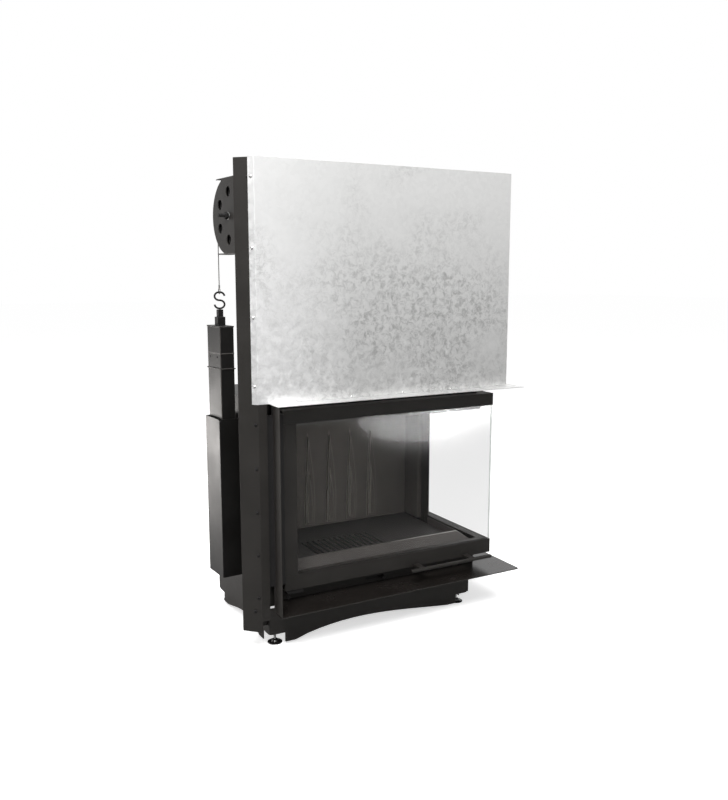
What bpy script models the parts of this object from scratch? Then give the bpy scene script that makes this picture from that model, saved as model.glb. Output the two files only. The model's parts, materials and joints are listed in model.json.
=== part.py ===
"""A wood-burning fireplace insert with a corner door that lifts behind a galvanised casing.

X runs along the front face, Y from the front face into the wall, Z up from the floor.
The front fold of the casing is at X = 0, Y = 0 before the assembly is centred on its base.
Units are metres.
"""

import bmesh
import bpy
from math import asin, cos, pi, radians, sin, sqrt, tan
from mathutils import Matrix, Vector

# Overall
casing_width = 0.8725          # front casing, from its left fold to the glass corner
casing_depth = 0.535           # side casing, from the glass corner to its rear fold
casing_height = 1.412
cover_bottom = 0.7368          # lower edge of the galvanised covers
shelf_height = 0.123           # top of the plate under the door
gap = 0.0003                   # clearance between pieces that touch
overrun = 0.005                # how far a cutter reaches past what it cuts

# Sheet thicknesses
cover_sheet = 0.0015
frame_sheet = 0.002
bend_inside = 0.0006           # inner radius of every fold
plinth_sheet = 0.003
shell_sheet = 0.003
top_sheet = 0.004

# Plinth
plinth_left = 0.0345
plinth_width = 0.7215
plinth_front = 0.030
plinth_depth = 0.4455
plinth_foot_height = 0.007     # clear space under its legs
corner_plate_height = 0.0365
corner_plate_sheet = 0.006
corner_notch = 0.051           # panel cut away over each corner plate
corner_round = 0.012
arch_toe = 0.034               # flat sole beside the arch
arch_rise = 0.029
arch_skew_share = 0.75         # brings the crown forward of the middle
arch_power = 1.1
arch_points = 14

# Levelling feet
foot_inset_x = 0.029
foot_inset_y = 0.030
foot_disc_radius = 0.0225
foot_disc_height = 0.003
foot_cup_radius = 0.0115
foot_cup_height = 0.012
foot_neck_radius = 0.0075
stud_radius = 0.004
stud_height = 0.062
locknut_radius = 0.0085
locknut_height = 0.007
stud_clearance = 0.0007

# Columns and their guide channels
column_foot = 0.0645
return_foot = 0.0975           # the front return ends higher than the face
column_top_gap = 0.002
column_return = 0.0263
column_face_width = 0.0652     # of the face set at 45 degrees
guide_reach = 0.062            # outer side of the guide channel, from the fold
guide_lip = 0.010
guide_lip_depth = 0.030

# Casing edges
shelf_reach = 0.058            # plate and lip stand this far out of the front
side_reach = 0.0275            # and this far out of the side
edge_round = 0.010
lip_start = 0.036
flange_start = 0.039           # left end of the plate, and the upright strip on it
left_flange_depth = 0.0455
lip_upstand = 0.0205
cover_strip = 0.0184
cover_return = 0.015
rail_height = 0.039
rail_depth = 0.028
rail_top_gap = 0.003

# Firebox shell
shell_left = 0.0345
shell_face = 0.070             # depth of its front and side faces behind the casing
shell_top = 0.726
front_return = 0.0255
lintel_height = 0.0357
post_start = 0.2905            # front edge of the rear post, from the casing's front
post_width = 0.0475
post_face = 0.110              # inner face of the post, in from the side casing
post_taper = 0.0605
fascia_top = 0.1945

# Smoke dome and collars
dome_centre_x = 0.410
dome_centre_y = 0.300
dome_width = 0.580
dome_depth = 0.300
dome_rings = 6
dome_segments = 36
dome_sheet = 0.003
flue_radius = 0.100
flue_wall = 0.0025
flue_drop = 0.017              # its rim below the casing's top
collar_length = 0.2445
flue_bead = 0.004
flue_bead_height = 0.014
inlet_centre_x = 0.300
inlet_height = 0.185
inlet_radius = 0.0625
inlet_wall = 0.002
inlet_length = 0.050
inlet_flange = 0.012
inlet_bead = 0.003

# Lining of the firebox
hearth_top = 0.205
back_face = 0.459              # front face of the back lining
lining_top = 0.660
side_lining = 0.035
lining_chamfer = 0.006
left_lining_start = 0.118
right_lining_start = 0.366
right_lining_face = 0.107      # in from the side casing
baffle_thickness = 0.025
baffle_start = 0.200

# Relief of the back lining
flame_count = 6
flame_pitch = 0.0836
flame_middle = 0.407
flame_tip = 0.533
flame_inner_tip = 0.400
flame_relief = 0.008
flame_inner_relief = 0.005
flame_sink = 0.002
flame_left = 0.016
flame_right = 0.030
flame_inner_left = 0.007
flame_inner_right = 0.017
flame_foot = 0.010
flame_steps = 9

# Hearth, grate and ash pan
rim_depth = 0.1125             # inner edge of the sloping rim, behind the casing
rim_height = 0.229
rim_outer = 0.0705
rim_sheet = 0.002
grate_x = 0.245
grate_y = 0.168
grate_width = 0.290
grate_depth = 0.160
grate_thickness = 0.014
grate_margin = 0.014
grate_slots = 13
slot_share = 0.45              # open share of each slot's pitch
grate_ledge = 0.008
ash_pan_clearance = 0.004
ash_pan_height = 0.050
ash_pan_sheet = 0.0015
ash_pan_lip = 0.006

# Air slider
slider_left = 0.320
slider_width = 0.230
slider_bottom = 0.1275
slider_height = 0.032
slider_slot_left = 0.383
slider_slot_width = 0.064
slider_slot_height = 0.009
slider_axis_height = 0.1375
slider_travel = 0.040
lever_width = 0.012
lever_height = 0.0055
lever_reach = 0.006
knob_radius = 0.006
knob_length = 0.014

# Door
door_depth = 0.030             # front face behind the casing
door_inset = 0.0875            # its end, from the casing's fold
door_bottom = 0.1637
door_top = 0.7090
door_travel = 0.440
bar_thickness = 0.034
door_wall = 0.003              # wall of the bars, which are channels open to the fire
top_bar = 0.040
bottom_bar = 0.0465
stile_width = 0.0416
glass_thickness = 0.004
glass_lip = 0.0015
glass_bite = 0.008
bar_edge = 0.002
door_round = 0.006             # its upper outer corners
handle_left = 0.4985
handle_length = 0.3115
handle_front = 0.026
handle_thickness = 0.012
handle_height = 0.010
handle_bottom = 0.1650
handle_leg_width = 0.020
handle_leg_inset = 0.0365
handle_leg_pitch = 0.193
handle_leg_height = 0.008
hinge_left = 0.094
hinge_width = 0.055
hinge_depth = 0.024
hinge_drop = 0.0135
hinge_pin_radius = 0.006
hinge_pin_drop = 0.0145

# Carriage arms
arm_plate = 0.003
arm_depth = 0.0235             # front face behind the casing
arm_reach = 0.0124             # past the casing's fold
arm_bottom = 0.190
arm_top = 0.700
arm_tab = 0.0385
shoe_width = 0.0195
shoe_margin = 0.010
clamp_width = 0.016
clamp_depth = 0.0175
clamp_height = 0.030

# Lift set: pulley, bracket, rope and weight, turned a little about the axle
axle_x = -0.0113
axle_y = 0.1437
axle_drop = 0.1502             # below the casing's top
lift_toe = radians(4.0)
rope_radius = 0.0015
rope_turn = 0.1030             # radius of the rope's middle line on the pulley
rope_steps = 20
pulley_radius = 0.1045
pulley_rim_width = 0.014
pulley_rim_depth = 0.017
pulley_groove_width = 0.0042
pulley_web = 0.006
hub_radius = 0.016
hub_half = 0.0082
axle_radius = 0.006
axle_clearance = 0.0004
lightening_radius = 0.0145
lightening_circle = 0.067
lightening_count = 6
bracket_sheet = 0.003
bracket_height = 0.216
bracket_radius = 0.110         # of its round edge about the axle
bracket_flange = 0.0345
bracket_reach = 0.0815         # of its flanges past the axle
bracket_foot = 0.020
bolt_head_radius = 0.010
bolt_head_length = 0.006
bolt_reach = 0.0306
thread_tip_share = 0.8         # radius of the chamfered tip
nut_radius = 0.0105
nut_length = 0.011

# Hook and counterweight
hook_wire = 0.0022
hook_radius = 0.0127
hook_steps = 10
hook_open = radians(50.0)
stem_length = 0.0475
stem_neck_radius = 0.0055
stem_neck_length = 0.021
stem_radius = 0.009
weight_hang = 0.3158           # its top below the axle
weight_height = 0.306
weight_width = 0.094
weight_thickness = 0.045
weight_edge = 0.0015
weight_plates = (              # drop below the top, thickness and reach past the blocks
    (0.0, 0.004, 0.0012),
    (0.0807, 0.0018, 0.0008),
    (0.1258, 0.003, 0.003),
)

# Weight housing
housing_top = 0.669
housing_bottom = 0.178
housing_width = 0.1065
housing_out = 0.0334
housing_flange = 0.018
housing_sheet = 0.002
housing_round = 0.010          # upper front corner of its outer panel

# Facets
round_steps = 32
small_steps = 14
bead_steps = 34
bracket_steps = 12


def hex_colour(code):
    """Linear colour of an sRGB hex code."""
    channels = [int(code[i:i + 2], 16) / 255 for i in (1, 3, 5)]
    linear = [c / 12.92 if c <= 0.04045 else ((c + 0.055) / 1.055) ** 2.4 for c in channels]
    return (*linear, 1.0)


def make_material(name, code, roughness, metallic=0.0, alpha=1.0):
    """A plain Principled material."""
    material = bpy.data.materials.new(name)
    material.use_nodes = True
    shader = material.node_tree.nodes["Principled BSDF"]
    shader.inputs["Base Color"].default_value = hex_colour(code)
    shader.inputs["Roughness"].default_value = roughness
    shader.inputs["Metallic"].default_value = metallic
    shader.inputs["Alpha"].default_value = alpha
    material.diffuse_color = hex_colour(code)
    return material


def clear_scene():
    """Removes whatever the file held."""
    for obj in list(bpy.data.objects):
        bpy.data.objects.remove(obj)


clear_scene()
parts = bpy.data.collections.new("fireplace_insert")
cutters = bpy.data.collections.new("cutters")
bpy.context.scene.collection.children.link(parts)
bpy.context.scene.collection.children.link(cutters)

black_steel = make_material("black painted steel", "#33312f", 0.55)
deep_black = make_material("matt black steel", "#1c1c1b", 0.65)
galvanised = make_material("galvanised sheet", "#cfd0cf", 0.42, 0.75)
zinc_steel = make_material("zinc plated steel", "#b9bab8", 0.30, 1.0)
chrome = make_material("chromed steel", "#d5d5d4", 0.12, 1.0)
cast_weight = make_material("cast weight", "#383634", 0.60)
lining = make_material("fired lining", "#4a4743", 0.85)
cast_iron = make_material("cast iron", "#2a2928", 0.70, 0.3)
clear_glass = make_material("ceramic glass", "#dfe6e6", 0.03, 0.0, 0.25)

# Places that several pieces share
side_x = casing_width
rear_y = casing_depth
plinth_top = shelf_height - plinth_sheet - gap
floor_bottom = plinth_top + gap
floor_top = floor_bottom + top_sheet
shell_right = side_x - shell_face
shell_rear = rear_y - shell_left
column_offset = cover_sheet + gap
column_fold = column_offset * tan(pi / 8)
column_back = column_offset + column_face_width / sqrt(2)
axle_height = casing_height - axle_drop
flue_top = casing_height - flue_drop
dome_base = shell_top + top_sheet + gap
dome_height = flue_top - collar_length - gap - dome_base
weight_top = axle_height - weight_hang
stem_top = weight_top + stem_length
bracket_outer = hub_half + gap + bracket_sheet
half_bracket = bracket_height / 2
housing_near = rope_turn - housing_width / 2
housing_far = rope_turn + housing_width / 2
# From the axle to the bracket's edge at the column
bracket_front = (
    axle_y - (bracket_outer + bracket_foot) * sin(lift_toe) - column_back - gap
) / cos(lift_toe)


def assembly_offset():
    """Shift that puts the middle of the base at the origin."""
    left = left_edge()
    middle_x = (left + side_x + side_reach) / 2
    middle_y = (-shelf_reach + rear_y - left) / 2
    return Vector((-middle_x, -middle_y, 0.0))


def toed(x, y):
    """A point of the lift set, carried from the axle's frame to the casing's."""
    return (
        axle_x + x * cos(lift_toe) - y * sin(lift_toe),
        axle_y + x * sin(lift_toe) + y * cos(lift_toe),
    )


def left_edge():
    """The furthest point to the left: the axle's thread or the housing's rear corner."""
    tip = toed(-(bracket_outer + bolt_reach), axle_radius * thread_tip_share)
    corner = toed(-housing_out, housing_far)
    fold = (bend_inside + housing_sheet) * tan(pi / 4 + lift_toe / 2) * sin(lift_toe)
    return min(tip[0], corner[0] + fold)


assembly = bpy.data.objects.new("assembly", None)
assembly.location = assembly_offset()
parts.objects.link(assembly)


def add_object(name, mesh, finish, matrix=None):
    """A sub-part in the assembly."""
    obj = bpy.data.objects.new(name, mesh)
    obj.parent = assembly
    if matrix is not None:
        obj.matrix_basis = matrix
    mesh.materials.clear()
    mesh.materials.append(finish)
    parts.objects.link(obj)
    return obj


def mesh_from(bm, name):
    """Closes a bmesh into mesh data with its faces pointing out."""
    bmesh.ops.recalc_face_normals(bm, faces=bm.faces)
    mesh = bpy.data.meshes.new(name)
    bm.to_mesh(mesh)
    bm.free()
    return mesh


def evaluated_mesh(obj):
    """The mesh of an object with its modifiers applied."""
    bpy.context.view_layer.update()
    graph = bpy.context.evaluated_depsgraph_get()
    return bpy.data.meshes.new_from_object(obj.evaluated_get(graph))


def block_mesh(low, high):
    """A box between two corners."""
    bm = bmesh.new()
    middle = [(a + b) / 2 for a, b in zip(low, high)]
    size = [b - a for a, b in zip(low, high)]
    bmesh.ops.create_cube(bm, size=1.0, matrix=Matrix.LocRotScale(Vector(middle), None, Vector(size)))
    return mesh_from(bm, "block")


def block(name, low, high, finish, edge=0.0):
    """A box as a sub-part, with its edges broken where a width is given."""
    obj = add_object(name, block_mesh(low, high), finish)
    if edge > 0:
        bevel(obj, edge)
    return obj


def bevel(obj, width, segments=1):
    """Breaks the sharp edges of an object."""
    modifier = obj.modifiers.new("edges", "BEVEL")
    modifier.width = width
    modifier.segments = segments
    modifier.limit_method = "ANGLE"
    modifier.angle_limit = radians(40.0)


def outline_mesh(rings, low, high, matrix=None):
    """A flat outline, with any further rings as holes, raised from one level to another."""
    curve = bpy.data.curves.new("outline", "CURVE")
    curve.dimensions = "2D"
    curve.fill_mode = "BOTH"
    curve.extrude = (high - low) / 2
    for ring in rings:
        spline = curve.splines.new("POLY")
        spline.points.add(len(ring) - 1)
        for point, (x, y) in zip(spline.points, ring):
            point.co = (x, y, 0.0, 1.0)
        spline.use_cyclic_u = True
    drawn = bpy.data.objects.new("outline", curve)
    parts.objects.link(drawn)
    mesh = evaluated_mesh(drawn)
    bpy.data.objects.remove(drawn)
    bm = bmesh.new()
    bm.from_mesh(mesh)
    bmesh.ops.remove_doubles(bm, verts=bm.verts, dist=0.00001)
    bmesh.ops.translate(bm, verts=bm.verts, vec=(0.0, 0.0, (low + high) / 2))
    if matrix is not None:
        bmesh.ops.transform(bm, matrix=matrix, verts=bm.verts)
    return mesh_from(bm, "outline")


def loft_mesh(rings, closed=True):
    """Skin over a row of like rings; closed rings are capped, open ones make a sheet."""
    bm = bmesh.new()
    rows = [[bm.verts.new(point) for point in ring] for ring in rings]
    count = len(rows[0])
    for near, far in zip(rows, rows[1:]):
        for i in range(count if closed else count - 1):
            j = (i + 1) % count
            bm.faces.new((near[i], near[j], far[j], far[i]))
    if closed:
        bm.faces.new(rows[0])
        bm.faces.new(rows[-1])
        return mesh_from(bm, "loft")
    mesh = bpy.data.meshes.new("sheet")
    bm.to_mesh(mesh)
    bm.free()
    return mesh


def hollow_loft_mesh(rings):
    """Skin of a tube with a wall: its rings run up the outside and back down the inside."""
    bm = bmesh.new()
    rows = [[bm.verts.new(point) for point in ring] for ring in rings]
    count = len(rows[0])
    for near, far in zip(rows, rows[1:] + rows[:1]):
        for i in range(count):
            j = (i + 1) % count
            bm.faces.new((near[i], near[j], far[j], far[i]))
    return mesh_from(bm, "tube")


def thicken(obj, thickness):
    """Gives a sheet its thickness, to the left of the path that it was folded along."""
    modifier = obj.modifiers.new("thickness", "SOLIDIFY")
    modifier.thickness = thickness
    modifier.offset = -1.0
    modifier.use_even_offset = True


def bent(path, sheet):
    """A folded sheet's line with its corners rounded, as a press brake leaves them."""
    points = [Vector(point) for point in path]
    line = [tuple(points[0])]
    for before, corner, after in zip(points, points[1:], points[2:]):
        back = (before - corner).normalized()
        ahead = (after - corner).normalized()
        half = back.angle(ahead) / 2
        radius = bend_inside + (sheet if back.cross(ahead) < 0 else 0.0)
        middle = corner + (back + ahead).normalized() * radius / sin(half)
        start = (corner + back * radius / tan(half) - middle).normalized()
        end = (corner + ahead * radius / tan(half) - middle).normalized()
        steps = 3 if half < radians(40.0) else 2
        for i in range(steps + 1):
            line.append(tuple(middle + start.slerp(end, i / steps) * radius))
    line.append(tuple(points[-1]))
    return line


def folded(name, path, low, high, thickness, finish, welded=False):
    """An upright sheet with folded or welded corners, drawn as its outer line seen from above."""
    line = path if welded else bent(path, thickness)
    rings = [[(x, y, level) for x, y in line] for level in (low, high)]
    obj = add_object(name, loft_mesh(rings, closed=False), finish)
    thicken(obj, thickness)
    return obj


def corner_rings(profile, start, end):
    """Stations of an L run: its left end, its mitre at the glass corner and its rear end."""
    left = [(start, front, z) for front, side, z in profile]
    corner = [(side_x - side, front, z) for front, side, z in profile]
    rear = [(side_x - side, rear_y - end, z) for front, side, z in profile]
    return [left, corner, rear]


def even_profile(points):
    """A profile with the same depth behind the front casing and the side casing."""
    return [(depth, depth, z) for depth, z in points]


def corner_sheet(name, profile, start, end, thickness, finish):
    """A folded sheet that runs along the front and round the glass corner."""
    obj = add_object(name, loft_mesh(corner_rings(profile, start, end), closed=False), finish)
    thicken(obj, thickness)
    return obj


def corner_bar(name, profile, start, end, finish):
    """A solid bar that runs along the front and round the glass corner."""
    return add_object(name, loft_mesh(corner_rings(profile, start, end)), finish)


def turned_mesh(profile, steps, matrix=None):
    """A turned solid from a closed profile of (radius, height) points, outer side first going down."""
    bm = bmesh.new()
    points = [bm.verts.new((radius, 0.0, height)) for radius, height in profile]
    for near, far in zip(points, points[1:] + points[:1]):
        bm.edges.new((near, far))
    mesh = bpy.data.meshes.new("turned")
    bm.to_mesh(mesh)
    bm.free()
    drawn = bpy.data.objects.new("turned", mesh)
    parts.objects.link(drawn)
    screw = drawn.modifiers.new("turn", "SCREW")
    screw.steps = steps
    screw.render_steps = steps
    screw.use_merge_vertices = True
    screw.merge_threshold = 0.00001
    solid = evaluated_mesh(drawn)
    bpy.data.objects.remove(drawn)
    bm = bmesh.new()
    bm.from_mesh(solid)
    bmesh.ops.remove_doubles(bm, verts=bm.verts, dist=0.00001)
    if matrix is not None:
        bmesh.ops.transform(bm, matrix=matrix, verts=bm.verts)
    return mesh_from(bm, "turned")


def smooth(obj):
    """Shades a round piece smooth up to its sharp edges."""
    obj.data.shade_smooth()
    obj.data.set_sharp_from_angle(angle=radians(35.0))
    return obj


def make_tool(mesh, matrix=None):
    """A hidden object that cuts or is joined to another."""
    tool = bpy.data.objects.new("tool", mesh)
    tool.parent = assembly
    if matrix is not None:
        tool.matrix_basis = matrix
    tool.hide_render = True
    tool.display_type = "WIRE"
    cutters.objects.link(tool)
    return tool


def boolean(obj, mesh, operation, matrix=None):
    """Cuts a shape out of an object, or joins it on."""
    modifier = obj.modifiers.new(operation.lower(), "BOOLEAN")
    modifier.operation = operation
    modifier.solver = "EXACT"
    modifier.object = make_tool(mesh, matrix)


def settle(obj, matrix):
    """Keeps a piece's finished shape and carries it to its place."""
    obj.data = evaluated_mesh(obj)
    obj.modifiers.clear()
    obj.matrix_basis = matrix


def cut(obj, mesh, matrix=None):
    boolean(obj, mesh, "DIFFERENCE", matrix)


def join(obj, mesh, matrix=None):
    boolean(obj, mesh, "UNION", matrix)


def circle(x, y, radius, steps):
    """Points round a circle, half a step off its axes."""
    angles = [2 * pi * (i + 0.5) / steps for i in range(steps)]
    return [(x + radius * cos(a), y + radius * sin(a)) for a in angles]


def arc(x, y, radius, start, end, steps):
    """Points along an arc, both ends included."""
    angles = [start + (end - start) * i / steps for i in range(steps + 1)]
    return [(x + radius * cos(a), y + radius * sin(a)) for a in angles]


def tube_mesh(points, radius, resolution=1, matrix=None):
    """A round wire along a row of points."""
    curve = bpy.data.curves.new("tube", "CURVE")
    curve.dimensions = "3D"
    curve.bevel_depth = radius
    curve.bevel_resolution = resolution
    curve.use_fill_caps = True
    spline = curve.splines.new("POLY")
    spline.points.add(len(points) - 1)
    for point, place in zip(spline.points, points):
        point.co = (*place, 1.0)
    drawn = bpy.data.objects.new("tube", curve)
    parts.objects.link(drawn)
    mesh = evaluated_mesh(drawn)
    bpy.data.objects.remove(drawn)
    bm = bmesh.new()
    bm.from_mesh(mesh)
    bmesh.ops.remove_doubles(bm, verts=bm.verts, dist=0.00001)
    if matrix is not None:
        bmesh.ops.transform(bm, matrix=matrix, verts=bm.verts)
    return mesh_from(bm, "tube")


# Axis swaps for flat outlines: drawn in XY, stood up in the XZ or the YZ plane
upright_xz = Matrix(((1, 0, 0, 0), (0, 0, -1, 0), (0, 1, 0, 0), (0, 0, 0, 1)))
upright_yz = Matrix(((0, 0, 1, 0), (1, 0, 0, 0), (0, 1, 0, 0), (0, 0, 0, 1)))
# A turned solid's axis laid along X, or along Y
along_x = Matrix.Rotation(pi / 2, 4, "Y")
along_y = Matrix.Rotation(-pi / 2, 4, "X")
# The lift set's own frame: the casing's, turned a little about the axle's upright line
lift_frame = Matrix.Translation((axle_x, axle_y, 0.0)) @ Matrix.Rotation(lift_toe, 4, "Z")
# Reflection across the glass corner's diagonal, which carries the left set to the rear
across_corner = Matrix(((0, -1, 0, side_x), (-1, 0, 0, rear_y), (0, 0, 1, 0), (0, 0, 0, 1)))


def mirrored(source, name, origin=None):
    """The rear twin of a left piece, reflected across the glass corner's diagonal."""
    mesh = evaluated_mesh(source)
    bm = bmesh.new()
    bm.from_mesh(mesh)
    bmesh.ops.transform(bm, matrix=across_corner @ source.matrix_basis, verts=bm.verts)
    bmesh.ops.reverse_faces(bm, faces=bm.faces)
    twin = bpy.data.meshes.new(name)
    bm.to_mesh(twin)
    bm.free()
    obj = add_object(name, twin, source.data.materials[0])
    if origin is not None:
        set_origin(obj, across_corner @ Vector(origin))
    return obj


def set_origin(obj, place):
    """Puts a moving piece's origin on its joint's axis."""
    place = Vector(place)
    obj.data.transform(Matrix.Translation(-place))
    obj.location = place


def arch_cutter(start, end, near_notch, far_notch):
    """What is cut from under a plinth panel: a notch at each end and the arch between its soles."""
    sole = plinth_foot_height
    left = start + corner_notch
    right = end - corner_notch
    arch_left = left + arch_toe
    arch_width = right - arch_toe - arch_left
    arch = []
    for i in range(arch_points + 1):
        share = i / arch_points
        rise = sin(pi * share ** arch_skew_share) ** arch_power
        arch.append((arch_left + arch_width * share, sole + arch_rise * rise))
    return [
        (start - overrun, near_notch), (left, near_notch), (left, sole),
        *arch,
        (right, sole), (right, far_notch), (end + overrun, far_notch),
        (end + overrun, -overrun), (start - overrun, -overrun),
    ]


def foot_places():
    """Middle of each levelling foot, with the name of its corner."""
    near_x = plinth_left + foot_inset_x
    far_x = plinth_left + plinth_width - foot_inset_x
    near_y = plinth_front + foot_inset_y
    far_y = plinth_front + plinth_depth - foot_inset_y
    return {
        "front_left": (near_x, near_y),
        "front_right": (far_x, near_y),
        "rear_left": (near_x, far_y),
        "rear_right": (far_x, far_y),
    }


def corner_plate(corner_x, corner_y, toward_x, toward_y, foot):
    """A plate welded in under a plinth corner, bored for the levelling stud."""
    near_x = corner_x + toward_x * gap
    near_y = corner_y + toward_y * gap
    far_x = corner_x + toward_x * (corner_notch - gap)
    far_y = corner_y + toward_y * (corner_notch - gap)
    round_x = near_x + toward_x * corner_round
    round_y = near_y + toward_y * corner_round
    corner = []
    for i in range(5):
        angle = pi / 8 * i
        corner.append((
            round_x - toward_x * corner_round * cos(angle),
            round_y - toward_y * corner_round * sin(angle),
        ))
    outline = [(near_x, far_y), *corner, (far_x, near_y), (far_x, far_y)]
    hole = circle(*foot, stud_radius + stud_clearance, small_steps)
    return outline_mesh([outline, hole], corner_plate_height, corner_plate_height + corner_plate_sheet)


def make_plinth():
    """The arched plinth: a front panel, and a frame of the other three folded from one sheet."""
    left = plinth_left
    right = plinth_left + plinth_width
    front = plinth_front
    rear = plinth_front + plinth_depth
    feet = foot_places()
    inside = plinth_sheet + overrun
    welded = corner_plate_height + corner_plate_sheet / 2
    clear = corner_plate_height + corner_plate_sheet + gap
    low = (left, front, plinth_foot_height)
    panel = block("plinth_front", low, (right, front + plinth_sheet, plinth_top), black_steel)
    arch = arch_cutter(left, right, welded, welded)
    cut(panel, outline_mesh([arch], -(front + inside), overrun - front, upright_xz))
    join(panel, corner_plate(left, front, 1, 1, feet["front_left"]))
    join(panel, corner_plate(right, front, -1, 1, feet["front_right"]))
    start = front + plinth_sheet + gap
    path = [(right, start), (right, rear), (left, rear), (left, start)]
    frame = folded("plinth_frame", path, plinth_foot_height, plinth_top, plinth_sheet, black_steel)
    cut(frame, outline_mesh([arch], -(rear + overrun), inside - rear, upright_xz))
    side_arch = arch_cutter(front, rear, clear, welded)
    cut(frame, outline_mesh([side_arch], left - overrun, left + inside, upright_yz))
    cut(frame, outline_mesh([side_arch], right - inside, right + overrun, upright_yz))
    join(frame, corner_plate(left, rear, 1, -1, feet["rear_left"]))
    join(frame, corner_plate(right, rear, -1, -1, feet["rear_right"]))


def make_feet():
    """Levelling feet: a disc with a cup, and a stud through the corner plate with its locknut."""
    plate_high = corner_plate_height + corner_plate_sheet + gap
    profile = [
        (0.0, stud_height),
        (stud_radius, stud_height),
        (stud_radius, plate_high + locknut_height),
        (locknut_radius, plate_high + locknut_height),
        (locknut_radius, plate_high),
        (stud_radius, plate_high),
        (stud_radius, foot_cup_height),
        (foot_neck_radius, foot_cup_height - stud_clearance),
        (foot_cup_radius, foot_disc_height * 1.5),
        (foot_disc_radius, foot_disc_height),
        (foot_disc_radius, 0.0),
        (0.0, 0.0),
    ]
    mesh = turned_mesh(profile, small_steps)
    for corner, (x, y) in foot_places().items():
        obj = add_object("foot_" + corner, mesh.copy(), chrome, Matrix.Translation((x, y, 0.0)))
        smooth(obj)


def make_columns():
    """Folded columns with a 45 degree face outside and a guide channel for the carriage inside."""
    outer = column_offset
    back_y = column_back
    path = [
        (guide_reach - guide_lip, guide_lip_depth),
        (guide_reach, guide_lip_depth),
        (guide_reach, back_y),
        (column_fold - column_face_width / sqrt(2), back_y),
        (column_fold, outer),
        (column_fold + column_return, outer),
    ]
    top = casing_height - column_top_gap
    column = folded("left_column", path, column_foot, top, frame_sheet, black_steel)
    half_slot = pulley_rim_width / 2 + overrun
    chord = sqrt(pulley_radius ** 2 - (axle_y - back_y) ** 2) + overrun * 2
    low = (axle_x - half_slot, back_y - frame_sheet - overrun, axle_height - chord)
    high = (axle_x + half_slot + overrun, back_y + overrun, axle_height + chord)
    cut(column, block_mesh(low, high))
    foot_low = (plinth_left - gap, -overrun, column_foot - overrun)
    cut(column, block_mesh(foot_low, (guide_reach + overrun, back_y + overrun, plinth_top + gap)))
    return_low = (column_fold + frame_sheet, -overrun, column_foot - overrun)
    cut(column, block_mesh(return_low, (plinth_left - gap * 2, outer + overrun, return_foot)))
    mirrored(column, "rear_column")


def make_casing():
    """Galvanised covers, their top rail, the lip under them and the plate under the door."""
    strip = cover_strip / sqrt(2)
    front_path = [(-strip, strip), (0.0, 0.0), (side_x, 0.0), (side_x, cover_return)]
    folded("front_cover", front_path, cover_bottom, casing_height, cover_sheet, galvanised)
    side_start = cover_return + gap
    side_path = [
        (side_x, side_start),
        (side_x, rear_y),
        (side_x - strip, rear_y + strip),
    ]
    folded("side_cover", side_path, cover_bottom, casing_height, cover_sheet, galvanised)
    inside = cover_sheet + gap
    rail_top = casing_height - rail_top_gap
    rail_profile = even_profile([
        (inside + rail_depth, rail_top),
        (inside, rail_top),
        (inside, rail_top - rail_height),
    ])
    rail_start = column_fold + column_return + gap
    corner_sheet("top_rail", rail_profile, rail_start, rail_start, frame_sheet, black_steel)
    lip_top = cover_bottom - gap
    lip_profile = [
        (inside, inside, lip_top + lip_upstand),
        (inside, inside, lip_top),
        (-shelf_reach, -side_reach, lip_top),
    ]
    corner_sheet("casing_lip", lip_profile, lip_start, lip_start, frame_sheet, galvanised)
    strip_end = left_flange_depth - shelf_reach
    flange_low = (flange_start, -shelf_reach, shelf_height + gap)
    flange_high = (flange_start + frame_sheet, strip_end, lip_top - frame_sheet - gap)
    block("left_flange", flange_low, flange_high, black_steel)
    right = side_x + side_reach
    front = -shelf_reach
    inner = shell_face - gap
    clear = guide_reach + gap
    outline = [
        (flange_start, front),
        *arc(right - edge_round, front + edge_round, edge_round, -pi / 2, 0.0, 5),
        (right, rear_y - flange_start),
        (side_x - strip_end, rear_y - flange_start),
        (side_x - strip_end, rear_y - clear),
        (side_x - inner, rear_y - clear),
        (side_x - inner, inner),
        (clear, inner),
        (clear, strip_end),
        (flange_start, strip_end),
    ]
    shelf = outline_mesh([outline], shelf_height - plinth_sheet, shelf_height)
    add_object("shelf_plate", shelf, black_steel)


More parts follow.
